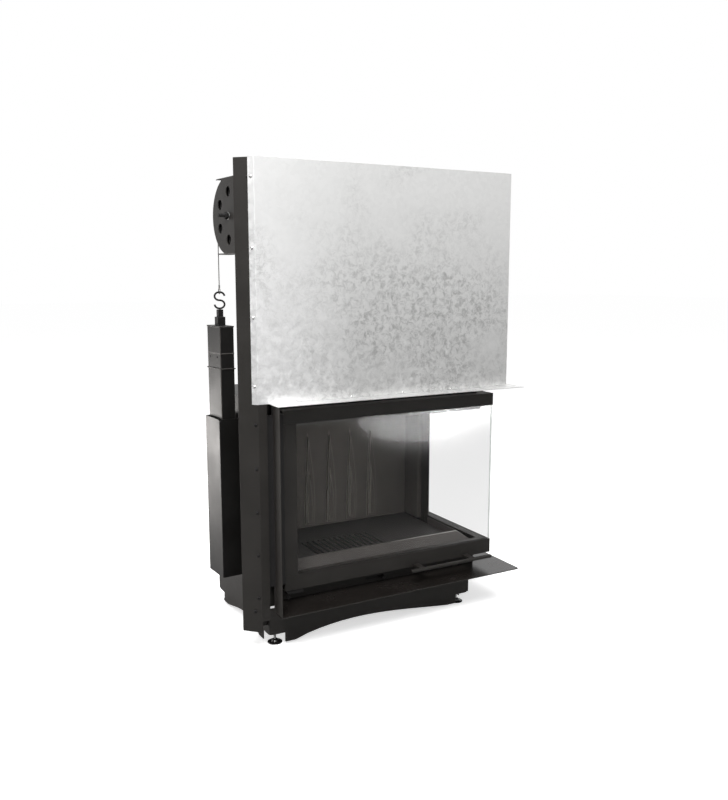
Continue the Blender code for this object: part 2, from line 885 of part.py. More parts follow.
def make_shell():
    """The firebox: floor, welded walls with the rear post, lintel, fascia and top."""
    low = (shell_left, shell_face, floor_bottom)
    high = (shell_right, shell_rear, floor_top)
    block("shell_floor", low, high, black_steel)
    wall_low = floor_top + gap
    wall_top = shell_top - gap
    front_y = shell_face + rim_sheet + frame_sheet + gap
    post_x = side_x - post_face
    path = [
        (post_x, post_start + post_width),
        (post_x, post_start),
        (shell_right, post_start + post_taper),
        (shell_right, shell_rear),
        (shell_left, shell_rear),
        (shell_left, front_y),
        (shell_left + front_return, front_y),
    ]
    walls = folded("shell_walls", path, wall_low, wall_top, shell_sheet, black_steel, True)
    hole = outline_mesh(
        [circle(inlet_centre_x, inlet_height, inlet_radius - inlet_wall, round_steps)],
        -(shell_rear + overrun), -(shell_rear - shell_sheet - overrun), upright_xz,
    )
    cut(walls, hole)
    lintel = even_profile([(shell_face, wall_top), (shell_face, wall_top - lintel_height)])
    rear_end = rear_y - post_start + gap
    corner_sheet("shell_lintel", lintel, shell_left, rear_end, frame_sheet, black_steel)
    fascia_profile = even_profile([(shell_face, fascia_top), (shell_face, wall_low)])
    fascia = corner_sheet("lower_fascia", fascia_profile, shell_left, rear_end, frame_sheet, black_steel)
    slot_low = (
        slider_slot_left,
        shell_face - overrun,
        slider_axis_height - slider_slot_height / 2,
    )
    slot_high = (
        slider_slot_left + slider_slot_width,
        shell_face + frame_sheet + overrun,
        slider_axis_height + slider_slot_height / 2,
    )
    cut(fascia, block_mesh(slot_low, slot_high))
    outline = [
        (shell_left, shell_face), (shell_right, shell_face),
        (shell_right, shell_rear), (shell_left, shell_rear),
    ]
    opening = dome_ring(0.0, dome_sheet + overrun)
    top = outline_mesh([outline, [(x, y) for x, y, z in opening]], shell_top, shell_top + top_sheet)
    add_object("shell_top", top, black_steel)


def dome_ring(share, inset=0.0):
    """One ring of the smoke dome, from a rounded rectangle at its foot to the flue's circle."""
    half_width = dome_width / 2 - inset
    half_depth = dome_depth / 2 - inset
    ease = share * share * (3 - 2 * share)
    radius = flue_radius - inset
    points = []
    for i in range(dome_segments):
        angle = 2 * pi * (i + 0.5) / dome_segments
        reach = (abs(cos(angle)) / half_width) ** 6 + (abs(sin(angle)) / half_depth) ** 6
        square = reach ** (-1 / 6)
        x = square * cos(angle) * (1 - ease) + radius * cos(angle) * ease
        y = square * sin(angle) * (1 - ease) + radius * sin(angle) * ease
        points.append((dome_centre_x + x, dome_centre_y + y, dome_base + dome_height * share))
    return points


def make_dome():
    """The smoke dome, lofted from the firebox top to the flue, and the collar on it."""
    outer = [dome_ring(i / dome_rings) for i in range(dome_rings + 1)]
    inner = [dome_ring(i / dome_rings, dome_sheet) for i in range(dome_rings, -1, -1)]
    dome = add_object("smoke_dome", hollow_loft_mesh(outer + inner), black_steel)
    smooth(dome)
    base = flue_top - collar_length
    inner = flue_radius - flue_wall
    bead = flue_bead_height
    profile = [
        (flue_radius, flue_top),
        (flue_radius, flue_top - bead * 2),
        (flue_radius + flue_bead, flue_top - bead * 2.5),
        (flue_radius, flue_top - bead * 3),
        (flue_radius, base + bead),
        (flue_radius + flue_bead, base + bead * 0.6),
        (flue_radius + flue_bead, base),
        (inner, base),
        (inner, flue_top),
    ]
    place = Matrix.Translation((dome_centre_x, dome_centre_y, 0.0))
    collar = add_object("flue_collar", turned_mesh(profile, bead_steps, place), black_steel)
    smooth(collar)


def make_air_inlet():
    """The outside air spigot on the rear wall."""
    inner = inlet_radius - inlet_wall
    profile = [
        (inlet_radius, inlet_length),
        (inlet_radius, inlet_length * 0.6),
        (inlet_radius + inlet_bead, inlet_length * 0.5),
        (inlet_radius, inlet_length * 0.4),
        (inlet_radius, inlet_wall),
        (inlet_radius + inlet_flange, inlet_wall),
        (inlet_radius + inlet_flange, 0.0),
        (inner, 0.0),
        (inner, inlet_length),
    ]
    place = Matrix.Translation((inlet_centre_x, shell_rear + gap, inlet_height))
    spigot = add_object("air_inlet", turned_mesh(profile, round_steps, place @ along_y), black_steel)
    smooth(spigot)


def flame_outline(centre, tip, foot, left, right, base_width):
    """A flame that leans: a nearly straight left side and a fuller right side, meeting at the tip."""
    left_side = []
    right_side = []
    for i in range(flame_steps):
        share = i / flame_steps
        height = foot + (tip - foot) * share
        swell = sin(pi * share ** 0.8) * 0.55 + (1 - share) * 0.45
        left_side.append((centre - base_width * (1 - share) - (left - base_width) * swell, height))
        right_side.append((centre + (right - base_width) * swell + base_width * (1 - share), height))
    return [*right_side, (centre, tip), *reversed(left_side)]


def make_lining():
    """Lining slabs, with rising flames on the back one, and the baffle on top of them."""
    bottom = hearth_top + gap
    left = shell_left + shell_sheet + gap
    right = shell_right - shell_sheet - gap
    rear = shell_rear - shell_sheet - gap
    back = block("back_lining", (left, back_face, bottom), (right, rear, lining_top), lining)
    for i in range(flame_count):
        centre = flame_middle + (i - (flame_count - 1) / 2) * flame_pitch
        outer = flame_outline(centre, flame_tip, bottom + flame_foot, flame_left, flame_right, flame_foot)
        front = back_face - flame_relief
        flame = outline_mesh([outer], -(back_face + flame_sink), -front, upright_xz)
        join(back, flame)
        inner = flame_outline(
            centre, flame_inner_tip, bottom + flame_foot * 2,
            flame_inner_left, flame_inner_right, flame_foot / 2,
        )
        face = front - flame_inner_relief
        join(back, outline_mesh([inner], -(front + flame_sink), -face, upright_xz))
    side_end = back_face - gap
    low = (left, left_lining_start, bottom)
    high = (left + side_lining, side_end, lining_top)
    block("left_lining", low, high, lining, lining_chamfer)
    low = (side_x - right_lining_face, right_lining_start, bottom)
    high = (right, side_end, lining_top)
    block("right_lining", low, high, lining, lining_chamfer / 2)
    post_x = side_x - post_face - gap
    post_rear = post_start + post_taper + shell_sheet
    outline = [
        (left, baffle_start), (post_x, baffle_start), (post_x, post_rear),
        (right, post_rear), (right, rear), (left, rear),
    ]
    low = lining_top + gap
    add_object("baffle", outline_mesh([outline], low, low + baffle_thickness), lining)


def well_box(margin):
    """Plan of the ash well, widened by a margin."""
    left = grate_x + grate_ledge - margin
    right = grate_x + grate_width - grate_ledge + margin
    front = grate_y + grate_ledge - margin
    rear = grate_y + grate_depth - grate_ledge + margin
    return left, right, front, rear


def make_hearth():
    """The hearth block with its ash well, the sloping rim, the grate and the ash pan."""
    left = shell_left + shell_sheet + gap
    bottom = floor_top + gap
    rear = shell_rear - shell_sheet - gap
    right = side_x - rim_depth + rim_sheet
    front = rim_depth - rim_sheet
    hearth = block("hearth", (left, front, bottom), (right, rear, hearth_top), lining)
    well_left, well_right, well_front, well_rear = well_box(0.0)
    low = (well_left, well_front, bottom - overrun)
    cut(hearth, block_mesh(low, (well_right, well_rear, hearth_top + overrun)))
    ledge = hearth_top - grate_thickness
    seat_low = (grate_x - gap, grate_y - gap, ledge - gap)
    seat_high = (grate_x + grate_width + gap, grate_y + grate_depth + gap, hearth_top + overrun)
    cut(hearth, block_mesh(seat_low, seat_high))
    slope_foot = fascia_top + gap + rim_sheet
    rim = even_profile([
        (rim_depth, hearth_top + gap),
        (rim_depth, rim_height),
        (rim_outer, slope_foot),
    ])
    rear_end = rear_y - post_start + gap
    rim_start = shell_left + front_return + gap
    corner_sheet("hearth_rim", rim, rim_start, rear_end, rim_sheet, black_steel)
    make_grate(ledge)
    make_ash_pan(bottom)


def make_grate(ledge):
    """A cast grate with a row of slots that run front to back."""
    outline = [
        (grate_x, grate_y), (grate_x + grate_width, grate_y),
        (grate_x + grate_width, grate_y + grate_depth), (grate_x, grate_y + grate_depth),
    ]
    pitch = (grate_width - 2 * grate_margin) / grate_slots
    radius = pitch * slot_share / 2
    rings = [outline]
    for i in range(grate_slots):
        x = grate_x + grate_margin + pitch * (i + 0.5)
        near = grate_y + grate_margin + radius
        far = grate_y + grate_depth - grate_margin - radius
        rings.append([
            *arc(x, near, radius, pi, 2 * pi, 4),
            *arc(x, far, radius, 0.0, pi, 4),
        ])
    add_object("grate", outline_mesh(rings, ledge, hearth_top), cast_iron)


def make_ash_pan(bottom):
    """A lift-out ash pan that stands in the well under the grate."""
    left, right, front, rear = well_box(-ash_pan_clearance)
    mesh = block_mesh((left, front, bottom), (right, rear, bottom + ash_pan_height))
    bm = bmesh.new()
    bm.from_mesh(mesh)
    top = [face for face in bm.faces if face.normal.z > 0.5]
    bmesh.ops.delete(bm, geom=top, context="FACES_ONLY")
    bm.to_mesh(mesh)
    bm.free()
    pan = add_object("ash_pan", mesh, zinc_steel)
    thicken(pan, ash_pan_sheet)


def make_air_slider():
    """The primary air slider behind the fascia, with its lever through the slot."""
    behind = shell_face + frame_sheet + gap
    low = (slider_left, behind, slider_bottom)
    high = (slider_left + slider_width, behind + frame_sheet, slider_bottom + slider_height)
    lever_x = slider_slot_left + slider_slot_width - lever_width - frame_sheet
    slider = block("air_slider", low, high, zinc_steel)
    lever_low = (lever_x, shell_face - lever_reach, slider_axis_height - lever_height / 2)
    lever_high = (lever_x + lever_width, behind + frame_sheet / 2, slider_axis_height + lever_height / 2)
    join(slider, block_mesh(lever_low, lever_high))
    knob = [
        (0.0, knob_length),
        (knob_radius * 0.8, knob_length),
        (knob_radius, knob_length * 0.85),
        (knob_radius, knob_length * 0.2),
        (knob_radius * 0.7, 0.0),
        (0.0, 0.0),
    ]
    knob_y = shell_face - lever_reach + frame_sheet
    place = Matrix.Translation((lever_x + lever_width / 2, knob_y, slider_axis_height))
    turn = Matrix.Rotation(pi / 2, 4, "X")
    join(slider, turned_mesh(knob, small_steps, place @ turn))


def glass_groove():
    """Depths of the front and back of the groove that holds the glass."""
    front = door_depth + glass_lip
    return front, front + glass_thickness + 2 * gap


def round_off(bar):
    """Rounds the upper outer corner at both ends of the door's top bar."""
    high = door_top + overrun
    middle_z = door_top - door_round
    for end, toward, stand, levels in (
        (door_inset, 1, upright_xz, (-(door_depth + bar_thickness + overrun), overrun - door_depth)),
        (
            rear_y - door_inset, -1, upright_yz,
            (side_x - door_depth - bar_thickness - overrun, side_x - door_depth + overrun),
        ),
    ):
        middle = end + toward * door_round
        beyond = end - toward * overrun
        quarter = [
            (middle - toward * door_round * cos(angle), middle_z + door_round * sin(angle))
            for angle in (pi / 8 * i for i in range(5))
        ]
        corner = [(beyond, middle_z), *quarter, (middle, high), (beyond, high)]
        cut(bar, outline_mesh([corner], *levels, stand))


def make_door():
    """The corner door: L-shaped top and bottom bars, two stiles and two panes that meet bare."""
    front, back = glass_groove()
    face = door_depth
    rear = door_depth + bar_thickness
    spine = back + door_wall
    top_low = door_top - top_bar
    top_profile = even_profile([
        (face, door_top), (rear, door_top), (rear, door_top - door_wall), (spine, door_top - door_wall),
        (spine, top_low + door_wall), (rear, top_low + door_wall), (rear, top_low), (back, top_low),
        (back, top_low + glass_bite), (front, top_low + glass_bite), (front, top_low), (face, top_low),
    ])
    top_bar_piece = corner_bar("door_top_bar", top_profile, door_inset, door_inset, black_steel)
    round_off(top_bar_piece)
    high = door_bottom + bottom_bar
    bottom_profile = even_profile([
        (face, door_bottom), (rear, door_bottom), (rear, door_bottom + door_wall),
        (spine, door_bottom + door_wall), (spine, high - door_wall), (rear, high - door_wall),
        (rear, high), (back, high), (back, high - glass_bite), (front, high - glass_bite),
        (front, high), (face, high),
    ])
    corner_bar("door_bottom_bar", bottom_profile, door_inset, door_inset, black_steel)
    end = door_inset + stile_width
    bite = end - glass_bite - gap
    stile = [
        (door_inset, face), (end, face), (end, front), (bite, front), (bite, back), (end, back),
        (end, rear), (end - door_wall, rear), (end - door_wall, spine),
        (door_inset + door_wall, spine), (door_inset + door_wall, rear), (door_inset, rear),
    ]
    rings = [[(x, y, z) for x, y in stile] for z in (high + gap, top_low - gap)]
    left_stile = add_object("left_stile", loft_mesh(rings), black_steel)
    mirrored(left_stile, "rear_stile")
    pane_low = high - glass_bite + gap
    pane_high = top_low + glass_bite - gap
    outer = front + gap
    inner = outer + glass_thickness
    pane_start = end - glass_bite
    block("front_glass", (pane_start, outer, pane_low), (side_x - outer, inner, pane_high), clear_glass)
    low = (side_x - inner, inner + gap, pane_low)
    side_end = rear_y - pane_start
    block("side_glass", low, (side_x - outer, side_end, pane_high), clear_glass)


def make_handle():
    """The door's long handle under its bottom bar, on two legs."""
    top = handle_bottom + handle_height
    low = (handle_left, -handle_front, handle_bottom)
    high = (handle_left + handle_length, handle_thickness - handle_front, top)
    handle = block("door_handle", low, high, black_steel, bar_edge)
    for i in range(2):
        leg = handle_left + handle_leg_inset + handle_leg_pitch * i
        leg_top = handle_bottom + handle_leg_height
        leg_low = (leg, -handle_front + handle_thickness / 2, handle_bottom + bar_edge / 2)
        join(handle, block_mesh(leg_low, (leg + handle_leg_width, door_depth - gap, leg_top)))


def make_hinge_bracket():
    """The bracket under the door's left end, with the pin that the leaf is cleaned on."""
    top = door_bottom - gap
    low = (hinge_left, door_depth + bar_edge, top - hinge_drop)
    high = (hinge_left + hinge_width, door_depth + bar_edge + hinge_depth, top)
    bracket = block("hinge_bracket", low, high, black_steel, bar_edge)
    pin_x = hinge_left + hinge_pin_radius * 1.5
    pin_y = door_depth + bar_edge + hinge_depth / 2
    pin_top = top - hinge_drop / 2
    pin = [
        (0.0, pin_top),
        (hinge_pin_radius, pin_top),
        (hinge_pin_radius, top - hinge_drop - hinge_pin_drop),
        (0.0, top - hinge_drop - hinge_pin_drop),
    ]
    join(bracket, turned_mesh(pin, small_steps, Matrix.Translation((pin_x, pin_y, 0.0))))


def make_carriage():
    """Arms that carry the door in the columns' guide channels and take the ropes' ends."""
    tab_x = door_inset - gap
    path = [
        (-arm_reach, arm_depth),
        (tab_x, arm_depth),
        (tab_x, arm_depth + arm_tab),
    ]
    arm = folded("left_arm", path, arm_bottom, arm_top, arm_plate, deep_black)
    shoe_right = guide_reach - frame_sheet - gap
    back_y = column_back - frame_sheet - gap
    lip_back = guide_lip_depth + frame_sheet + gap
    neck_right = guide_reach - guide_lip - gap
    shoe_low = arm_bottom + shoe_margin
    shoe_high = arm_top - shoe_margin
    low = (shoe_right - shoe_width, lip_back, shoe_low)
    join(arm, block_mesh(low, (shoe_right, back_y, shoe_high)))
    neck_low = (shoe_right - shoe_width, arm_depth + arm_plate / 2, shoe_low + gap)
    join(arm, block_mesh(neck_low, (neck_right, lip_back + gap, shoe_high - gap)))
    rope_x, rope_y = toed(0.0, -rope_turn)
    low = (rope_x - clamp_width / 2, arm_depth + arm_plate / 2, arm_top - clamp_height)
    high = (rope_x + clamp_width / 2, arm_depth + arm_plate + clamp_depth, arm_top - gap)
    join(arm, block_mesh(low, high))
    mirrored(arm, "rear_arm")


def pulley_mesh():
    """The grooved pulley with its round lightening holes, turned about X."""
    half_rim = pulley_rim_width / 2
    half_web = pulley_web / 2
    half_groove = pulley_groove_width / 2
    groove = rope_turn - rope_radius - gap
    rim_inner = pulley_radius - pulley_rim_depth
    bore = axle_radius + axle_clearance
    profile = [
        (bore, hub_half),
        (hub_radius, hub_half),
        (hub_radius, half_web),
        (rim_inner, half_web),
        (rim_inner, half_rim),
        (pulley_radius, half_rim),
        (pulley_radius, half_groove),
        (groove, half_groove),
        (groove, -half_groove),
        (pulley_radius, -half_groove),
        (pulley_radius, -half_rim),
        (rim_inner, -half_rim),
        (rim_inner, -half_web),
        (hub_radius, -half_web),
        (hub_radius, -hub_half),
        (bore, -hub_half),
    ]
    return turned_mesh(profile, bead_steps, along_x)


def lightening_rings(steps):
    """The ring of round holes that the pulley and its bracket share."""
    rings = []
    for i in range(lightening_count):
        angle = pi / lightening_count * (2 * i + 1)
        rings.append(circle(
            lightening_circle * cos(angle), lightening_circle * sin(angle), lightening_radius, steps,
        ))
    return rings


def make_bracket():
    """The pulley's bracket: one folded sheet, holed, with a round edge between its two flanges."""
    level = Matrix.Translation((0.0, 0.0, axle_height)) @ upright_yz
    outer = -bracket_outer
    through = (outer - overrun, outer + bracket_sheet + overrun)
    flange_end = outer + bracket_flange
    profile = bent([
        (-half_bracket, flange_end), (-half_bracket, outer),
        (half_bracket, outer), (half_bracket, flange_end),
    ], bracket_sheet)
    rings = [
        [(x, y, axle_height + z) for z, x in profile]
        for y in (-bracket_front, bracket_reach)
    ]
    bracket = add_object("left_bracket", loft_mesh(rings, closed=False), black_steel)
    thicken(bracket, bracket_sheet)
    flat = half_bracket - bracket_sheet - bend_inside
    turn = asin(flat / bracket_radius)
    beyond = bracket_reach + overrun
    outside = [
        (beyond, -flat), (beyond, flat),
        *arc(0.0, 0.0, bracket_radius, turn, -turn, bracket_steps),
    ]
    cut(bracket, outline_mesh([outside], *through, level))
    axle_hole = circle(0.0, 0.0, axle_radius + axle_clearance, small_steps)
    cut(bracket, outline_mesh([*lightening_rings(small_steps), axle_hole], *through, level))
    foot_half = flat - bracket_sheet
    low = (outer - bracket_foot, -bracket_front, axle_height - foot_half)
    high = (outer + bracket_sheet / 2, bracket_sheet - bracket_front, axle_height + foot_half)
    join(bracket, block_mesh(low, high))
    settle(bracket, lift_frame)
    mirrored(bracket, "rear_bracket")


def make_axle():
    """The pulley's bolt: head inside, thread and nut outside the bracket."""
    head = hub_half + gap
    tail = -(bracket_outer + bolt_reach)
    nut_near = -(bracket_outer + gap)
    nut_far = nut_near - nut_length
    profile = [
        (0.0, head + bolt_head_length),
        (bolt_head_radius * 0.85, head + bolt_head_length),
        (bolt_head_radius, head + bolt_head_length * 0.7),
        (bolt_head_radius, head),
        (axle_radius, head),
        (axle_radius, nut_near),
        (nut_radius, nut_near),
        (nut_radius, nut_far),
        (axle_radius, nut_far),
        (axle_radius, tail + bar_edge),
        (axle_radius * thread_tip_share, tail),
        (0.0, tail),
    ]
    place = Matrix.Translation((0.0, 0.0, axle_height)) @ along_x
    axle = add_object("left_axle", turned_mesh(profile, small_steps, place), zinc_steel, lift_frame)
    smooth(axle)
    smooth(mirrored(axle, "rear_axle"))


def make_pulley():
    """The pulley on its own axis, with its rear twin."""
    pulley = add_object("left_pulley", pulley_mesh(), cast_weight)
    half = pulley_web + overrun
    cut(pulley, outline_mesh(lightening_rings(small_steps), -half, half, upright_yz))
    axle_place = lift_frame @ Vector((0.0, 0.0, axle_height))
    settle(pulley, Matrix.Translation(axle_place) @ Matrix.Rotation(lift_toe, 4, "Z"))
    smooth(pulley)
    smooth(mirrored(pulley, "rear_pulley", axle_place))


def make_rope():
    """The wire rope: over the pulley, down to the hook and down to the carriage."""
    over = [
        (0.0, y, axle_height + z)
        for y, z in arc(0.0, 0.0, rope_turn, 0.0, pi, rope_steps)
    ]
    wrap = add_object("left_rope_wrap", tube_mesh(over, rope_radius), zinc_steel, lift_frame)
    run_top = axle_height - gap
    weight_run = [(0.0, rope_turn, run_top), (0.0, rope_turn, hook_top() + gap)]
    door_run = [(0.0, -rope_turn, run_top), (0.0, -rope_turn, arm_top + gap)]
    down = add_object("left_rope_weight_run", tube_mesh(weight_run, rope_radius), zinc_steel, lift_frame)
    up = add_object("left_rope_door_run", tube_mesh(door_run, rope_radius), zinc_steel, lift_frame)
    for obj, name in ((wrap, "rear_rope_wrap"), (down, "rear_rope_weight_run"), (up, "rear_rope_door_run")):
        smooth(obj)
        smooth(mirrored(obj, name))


def hook_top():
    """Highest point of the hook."""
    return stem_top + gap + 4 * hook_radius + 2 * hook_wire


def make_hook():
    """The S-shaped hook between the rope and the weight's stem."""
    lower = stem_top + gap + hook_wire + hook_radius
    upper = lower + 2 * hook_radius
    bow = [
        (x, rope_turn, z)
        for x, z in arc(0.0, upper, hook_radius, hook_open, 3 * pi / 2, hook_steps)
    ]
    counter = [
        (x, rope_turn, z)
        for x, z in arc(0.0, lower, hook_radius, pi / 2, hook_open - pi, hook_steps)
    ]
    wire = tube_mesh(bow + counter[1:], hook_wire)
    hook = add_object("left_hook", wire, zinc_steel, lift_frame)
    smooth(hook)
    smooth(mirrored(hook, "rear_hook"))


def weight_ring(level, reach):
    """The weight's outline at one level, with its corners broken."""
    half_depth = weight_thickness / 2 + reach
    half_width = weight_width / 2 + reach
    corners = (
        (weight_edge - half_depth, -half_width), (half_depth - weight_edge, -half_width),
        (half_depth, weight_edge - half_width), (half_depth, half_width - weight_edge),
        (half_depth - weight_edge, half_width), (weight_edge - half_depth, half_width),
        (-half_depth, half_width - weight_edge), (-half_depth, weight_edge - half_width),
    )
    return [(x, rope_turn + y, level) for x, y in corners]


def make_weight():
    """The counterweight: blocks stacked between thin plates, on a stepped stem."""
    rings = []
    for drop, thickness, reach in weight_plates:
        level = weight_top - drop
        if drop > 0:
            rings.append(weight_ring(level, 0.0))
        rings.append(weight_ring(level, reach))
        rings.append(weight_ring(level - thickness, reach))
        rings.append(weight_ring(level - thickness, 0.0))
    rings.append(weight_ring(weight_top - weight_height, 0.0))
    weight = add_object("left_weight", loft_mesh(rings), cast_weight)
    stem = [
        (0.0, stem_top),
        (stem_neck_radius, stem_top),
        (stem_neck_radius, stem_top - stem_neck_length),
        (stem_radius, stem_top - stem_neck_length - bar_edge),
        (stem_radius, weight_top - overrun),
        (0.0, weight_top - overrun),
    ]
    join(weight, turned_mesh(stem, small_steps, Matrix.Translation((0.0, rope_turn, 0.0))))
    settle(weight, lift_frame)
    mirrored(weight, "rear_weight")


def make_housing():
    """The open-topped sheet housing that the weight sinks into, screwed to the firebox wall."""
    wall = shell_left - gap - housing_sheet
    near_left = toed(-housing_out, housing_near)
    far_left = toed(-housing_out, housing_far)
    slope = sin(lift_toe) / cos(lift_toe)
    near_y = near_left[1] + (wall - near_left[0]) * slope
    far_y = far_left[1] + (wall - far_left[0]) * slope
    path = [
        (wall, far_y + housing_flange),
        (wall, far_y),
        far_left,
        near_left,
        (wall, near_y),
        (wall, near_y - housing_flange),
    ]
    housing = folded("left_housing", path, housing_bottom, housing_top, housing_sheet, black_steel)
    inset = housing_sheet / 2
    floor = [
        (wall + inset, far_y - inset),
        (far_left[0] + inset, far_left[1] - inset),
        (near_left[0] + inset, near_left[1] + inset),
        (wall + inset, near_y + inset),
    ]
    join(housing, outline_mesh([floor], housing_bottom, housing_bottom + housing_sheet))
    middle_y = housing_near + housing_round
    middle_z = housing_top - housing_round
    corner = [
        (middle_y, housing_top + overrun),
        (housing_near - overrun, housing_top + overrun),
        (housing_near - overrun, middle_z),
        *arc(middle_y, middle_z, housing_round, pi, pi / 2, 4),
    ]
    outer = -housing_out
    panel = outline_mesh([corner], outer - overrun, outer + overrun, upright_yz)
    cut(housing, panel, lift_frame)
    mirrored(housing, "rear_housing")


def main():
    make_plinth()
    make_feet()
    make_columns()
    make_casing()
    make_shell()
    make_dome()
    make_air_inlet()
    make_lining()
    make_hearth()
    make_air_slider()
    make_door()
    make_handle()
    make_hinge_bracket()
    make_carriage()
    make_bracket()
    make_axle()
    make_pulley()
    make_rope()
    make_hook()
    make_weight()
    make_housing()


main()
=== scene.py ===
import json
from functools import partial
from math import asin, cos, inf, pi, radians, sin, sqrt, tan

import bmesh
import bpy
from mathutils import Matrix, Vector

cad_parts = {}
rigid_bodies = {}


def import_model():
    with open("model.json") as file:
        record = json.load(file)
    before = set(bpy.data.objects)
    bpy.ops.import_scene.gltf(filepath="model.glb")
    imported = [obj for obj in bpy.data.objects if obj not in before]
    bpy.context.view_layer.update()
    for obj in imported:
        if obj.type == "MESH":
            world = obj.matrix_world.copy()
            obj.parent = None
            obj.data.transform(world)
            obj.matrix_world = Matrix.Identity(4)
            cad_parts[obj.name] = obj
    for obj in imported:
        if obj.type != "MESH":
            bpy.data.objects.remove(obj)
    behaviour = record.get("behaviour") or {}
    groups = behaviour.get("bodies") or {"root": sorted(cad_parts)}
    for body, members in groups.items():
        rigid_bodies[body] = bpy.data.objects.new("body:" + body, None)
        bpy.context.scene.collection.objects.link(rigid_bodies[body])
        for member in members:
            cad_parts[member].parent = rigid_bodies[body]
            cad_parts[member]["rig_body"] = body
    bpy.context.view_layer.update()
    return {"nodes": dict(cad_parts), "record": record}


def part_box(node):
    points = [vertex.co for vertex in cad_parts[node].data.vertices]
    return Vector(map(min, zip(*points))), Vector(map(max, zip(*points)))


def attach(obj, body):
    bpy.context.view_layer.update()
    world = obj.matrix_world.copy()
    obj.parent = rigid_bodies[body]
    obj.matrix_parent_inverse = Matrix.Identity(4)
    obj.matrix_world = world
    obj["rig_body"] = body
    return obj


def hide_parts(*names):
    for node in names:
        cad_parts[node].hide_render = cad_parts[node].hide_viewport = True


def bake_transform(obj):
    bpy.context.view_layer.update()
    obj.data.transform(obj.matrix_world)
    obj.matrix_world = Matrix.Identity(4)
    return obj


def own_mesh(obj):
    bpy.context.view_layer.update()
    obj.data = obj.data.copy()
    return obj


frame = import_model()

bl_info = {
    "name": "Fireplace insert finish",
    "version": (1, 0, 0),
    "blender": (4, 5, 0),
    "location": "3D View > Sidebar > Insert",
    "description": "Finishes and small parts of a fireplace insert with a lifting corner door",
    "category": "Object",
}

CASING_WIDTH = 0.8725
CASING_DEPTH = 0.535
STRIP_WIDTH = 0.0184  # of the cover's strip, set at 45 degrees
COLUMN_SET = 0.0018  # the columns stand this far behind the covers
GAP = 0.0003  # between neighbouring pieces
AXLE_HEIGHT = 1.2618
AXLE_BACK = 0.1437  # the axle's middle, behind the casing's front
LIFT_RADIUS = 0.1030  # of the rope's middle line on the pulley
ROPE_RADIUS = 0.0015
HOOK_WIRE = 0.0028  # its radius
HOOK_BOW = 0.0121  # half the height of each bow, to the wire's middle
HOOK_WIDE = 0.0158  # half its width, to the wire's middle
STEM_TOP = 0.9935
HOOK_TOP = STEM_TOP + GAP + 4 * HOOK_BOW + 2 * HOOK_WIRE
TURNED_STEPS = 96
HOLE_STEPS = 40
CREASE = radians(40.0)  # edges of the CAD nodes that turn by more are broken
FLAT = radians(0.4)  # faces of the CAD nodes that turn by less are merged
BRACKET_OUTER = -0.0115  # the bracket's outer face, along the axle
COLUMN_OUT = Vector((-1.0, -1.0, 0.0)).normalized()  # out of the left column's face

behaviour = frame["record"]["behaviour"]
home = {node: body for body, nodes in behaviour["bodies"].items() for node in nodes}
joints = {joint["name"]: joint for joint in behaviour["joints"]}
cover_low = Vector(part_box("front_cover")[0])
fold = Vector((cover_low.x + STRIP_WIDTH / sqrt(2), cover_low.y, 0.0))  # front left fold of the casing
across = Matrix((  # the front's points to the side's, by the plane through the glass corner
    (0.0, -1.0, 0.0, fold.x + CASING_WIDTH + fold.y),
    (-1.0, 0.0, 0.0, fold.y + CASING_DEPTH + fold.x),
    (0.0, 0.0, 1.0, 0.0),
    (0.0, 0.0, 0.0, 1.0),
))
along_axle = Matrix.Rotation(pi / 2, 4, "Y")  # Z to X
in_lift = Matrix(((0, 0, 1, 0), (1, 0, 0, 0), (0, 1, 0, 0), (0, 0, 0, 1)))  # a plate's XY to the lift's YZ


def linear(code):
    """Turns an sRGB hex colour into linear RGBA."""
    channels = [int(code[i:i + 2], 16) / 255 for i in (1, 3, 5)]
    return (*[c / 12.92 if c <= 0.04045 else ((c + 0.055) / 1.055) ** 2.4 for c in channels], 1.0)


def colour_property(name, description, code):
    """A colour that a user may change."""
    return bpy.props.FloatVectorProperty(
        name=name, description=description, subtype="COLOR", size=4, min=0.0, max=1.0, default=linear(code),
    )


def length_property(name, description, default):
    """A length in metres that a user may change."""
    return bpy.props.FloatProperty(
        name=name, description=description, default=default, min=0.0, unit="LENGTH", subtype="DISTANCE",
        precision=5,
    )


def power_property(name, description, default):
    """A lamp's power in watts that a user may change."""
    return bpy.props.FloatProperty(
        name=name, description=description, default=default, min=0.0, unit="POWER",
    )


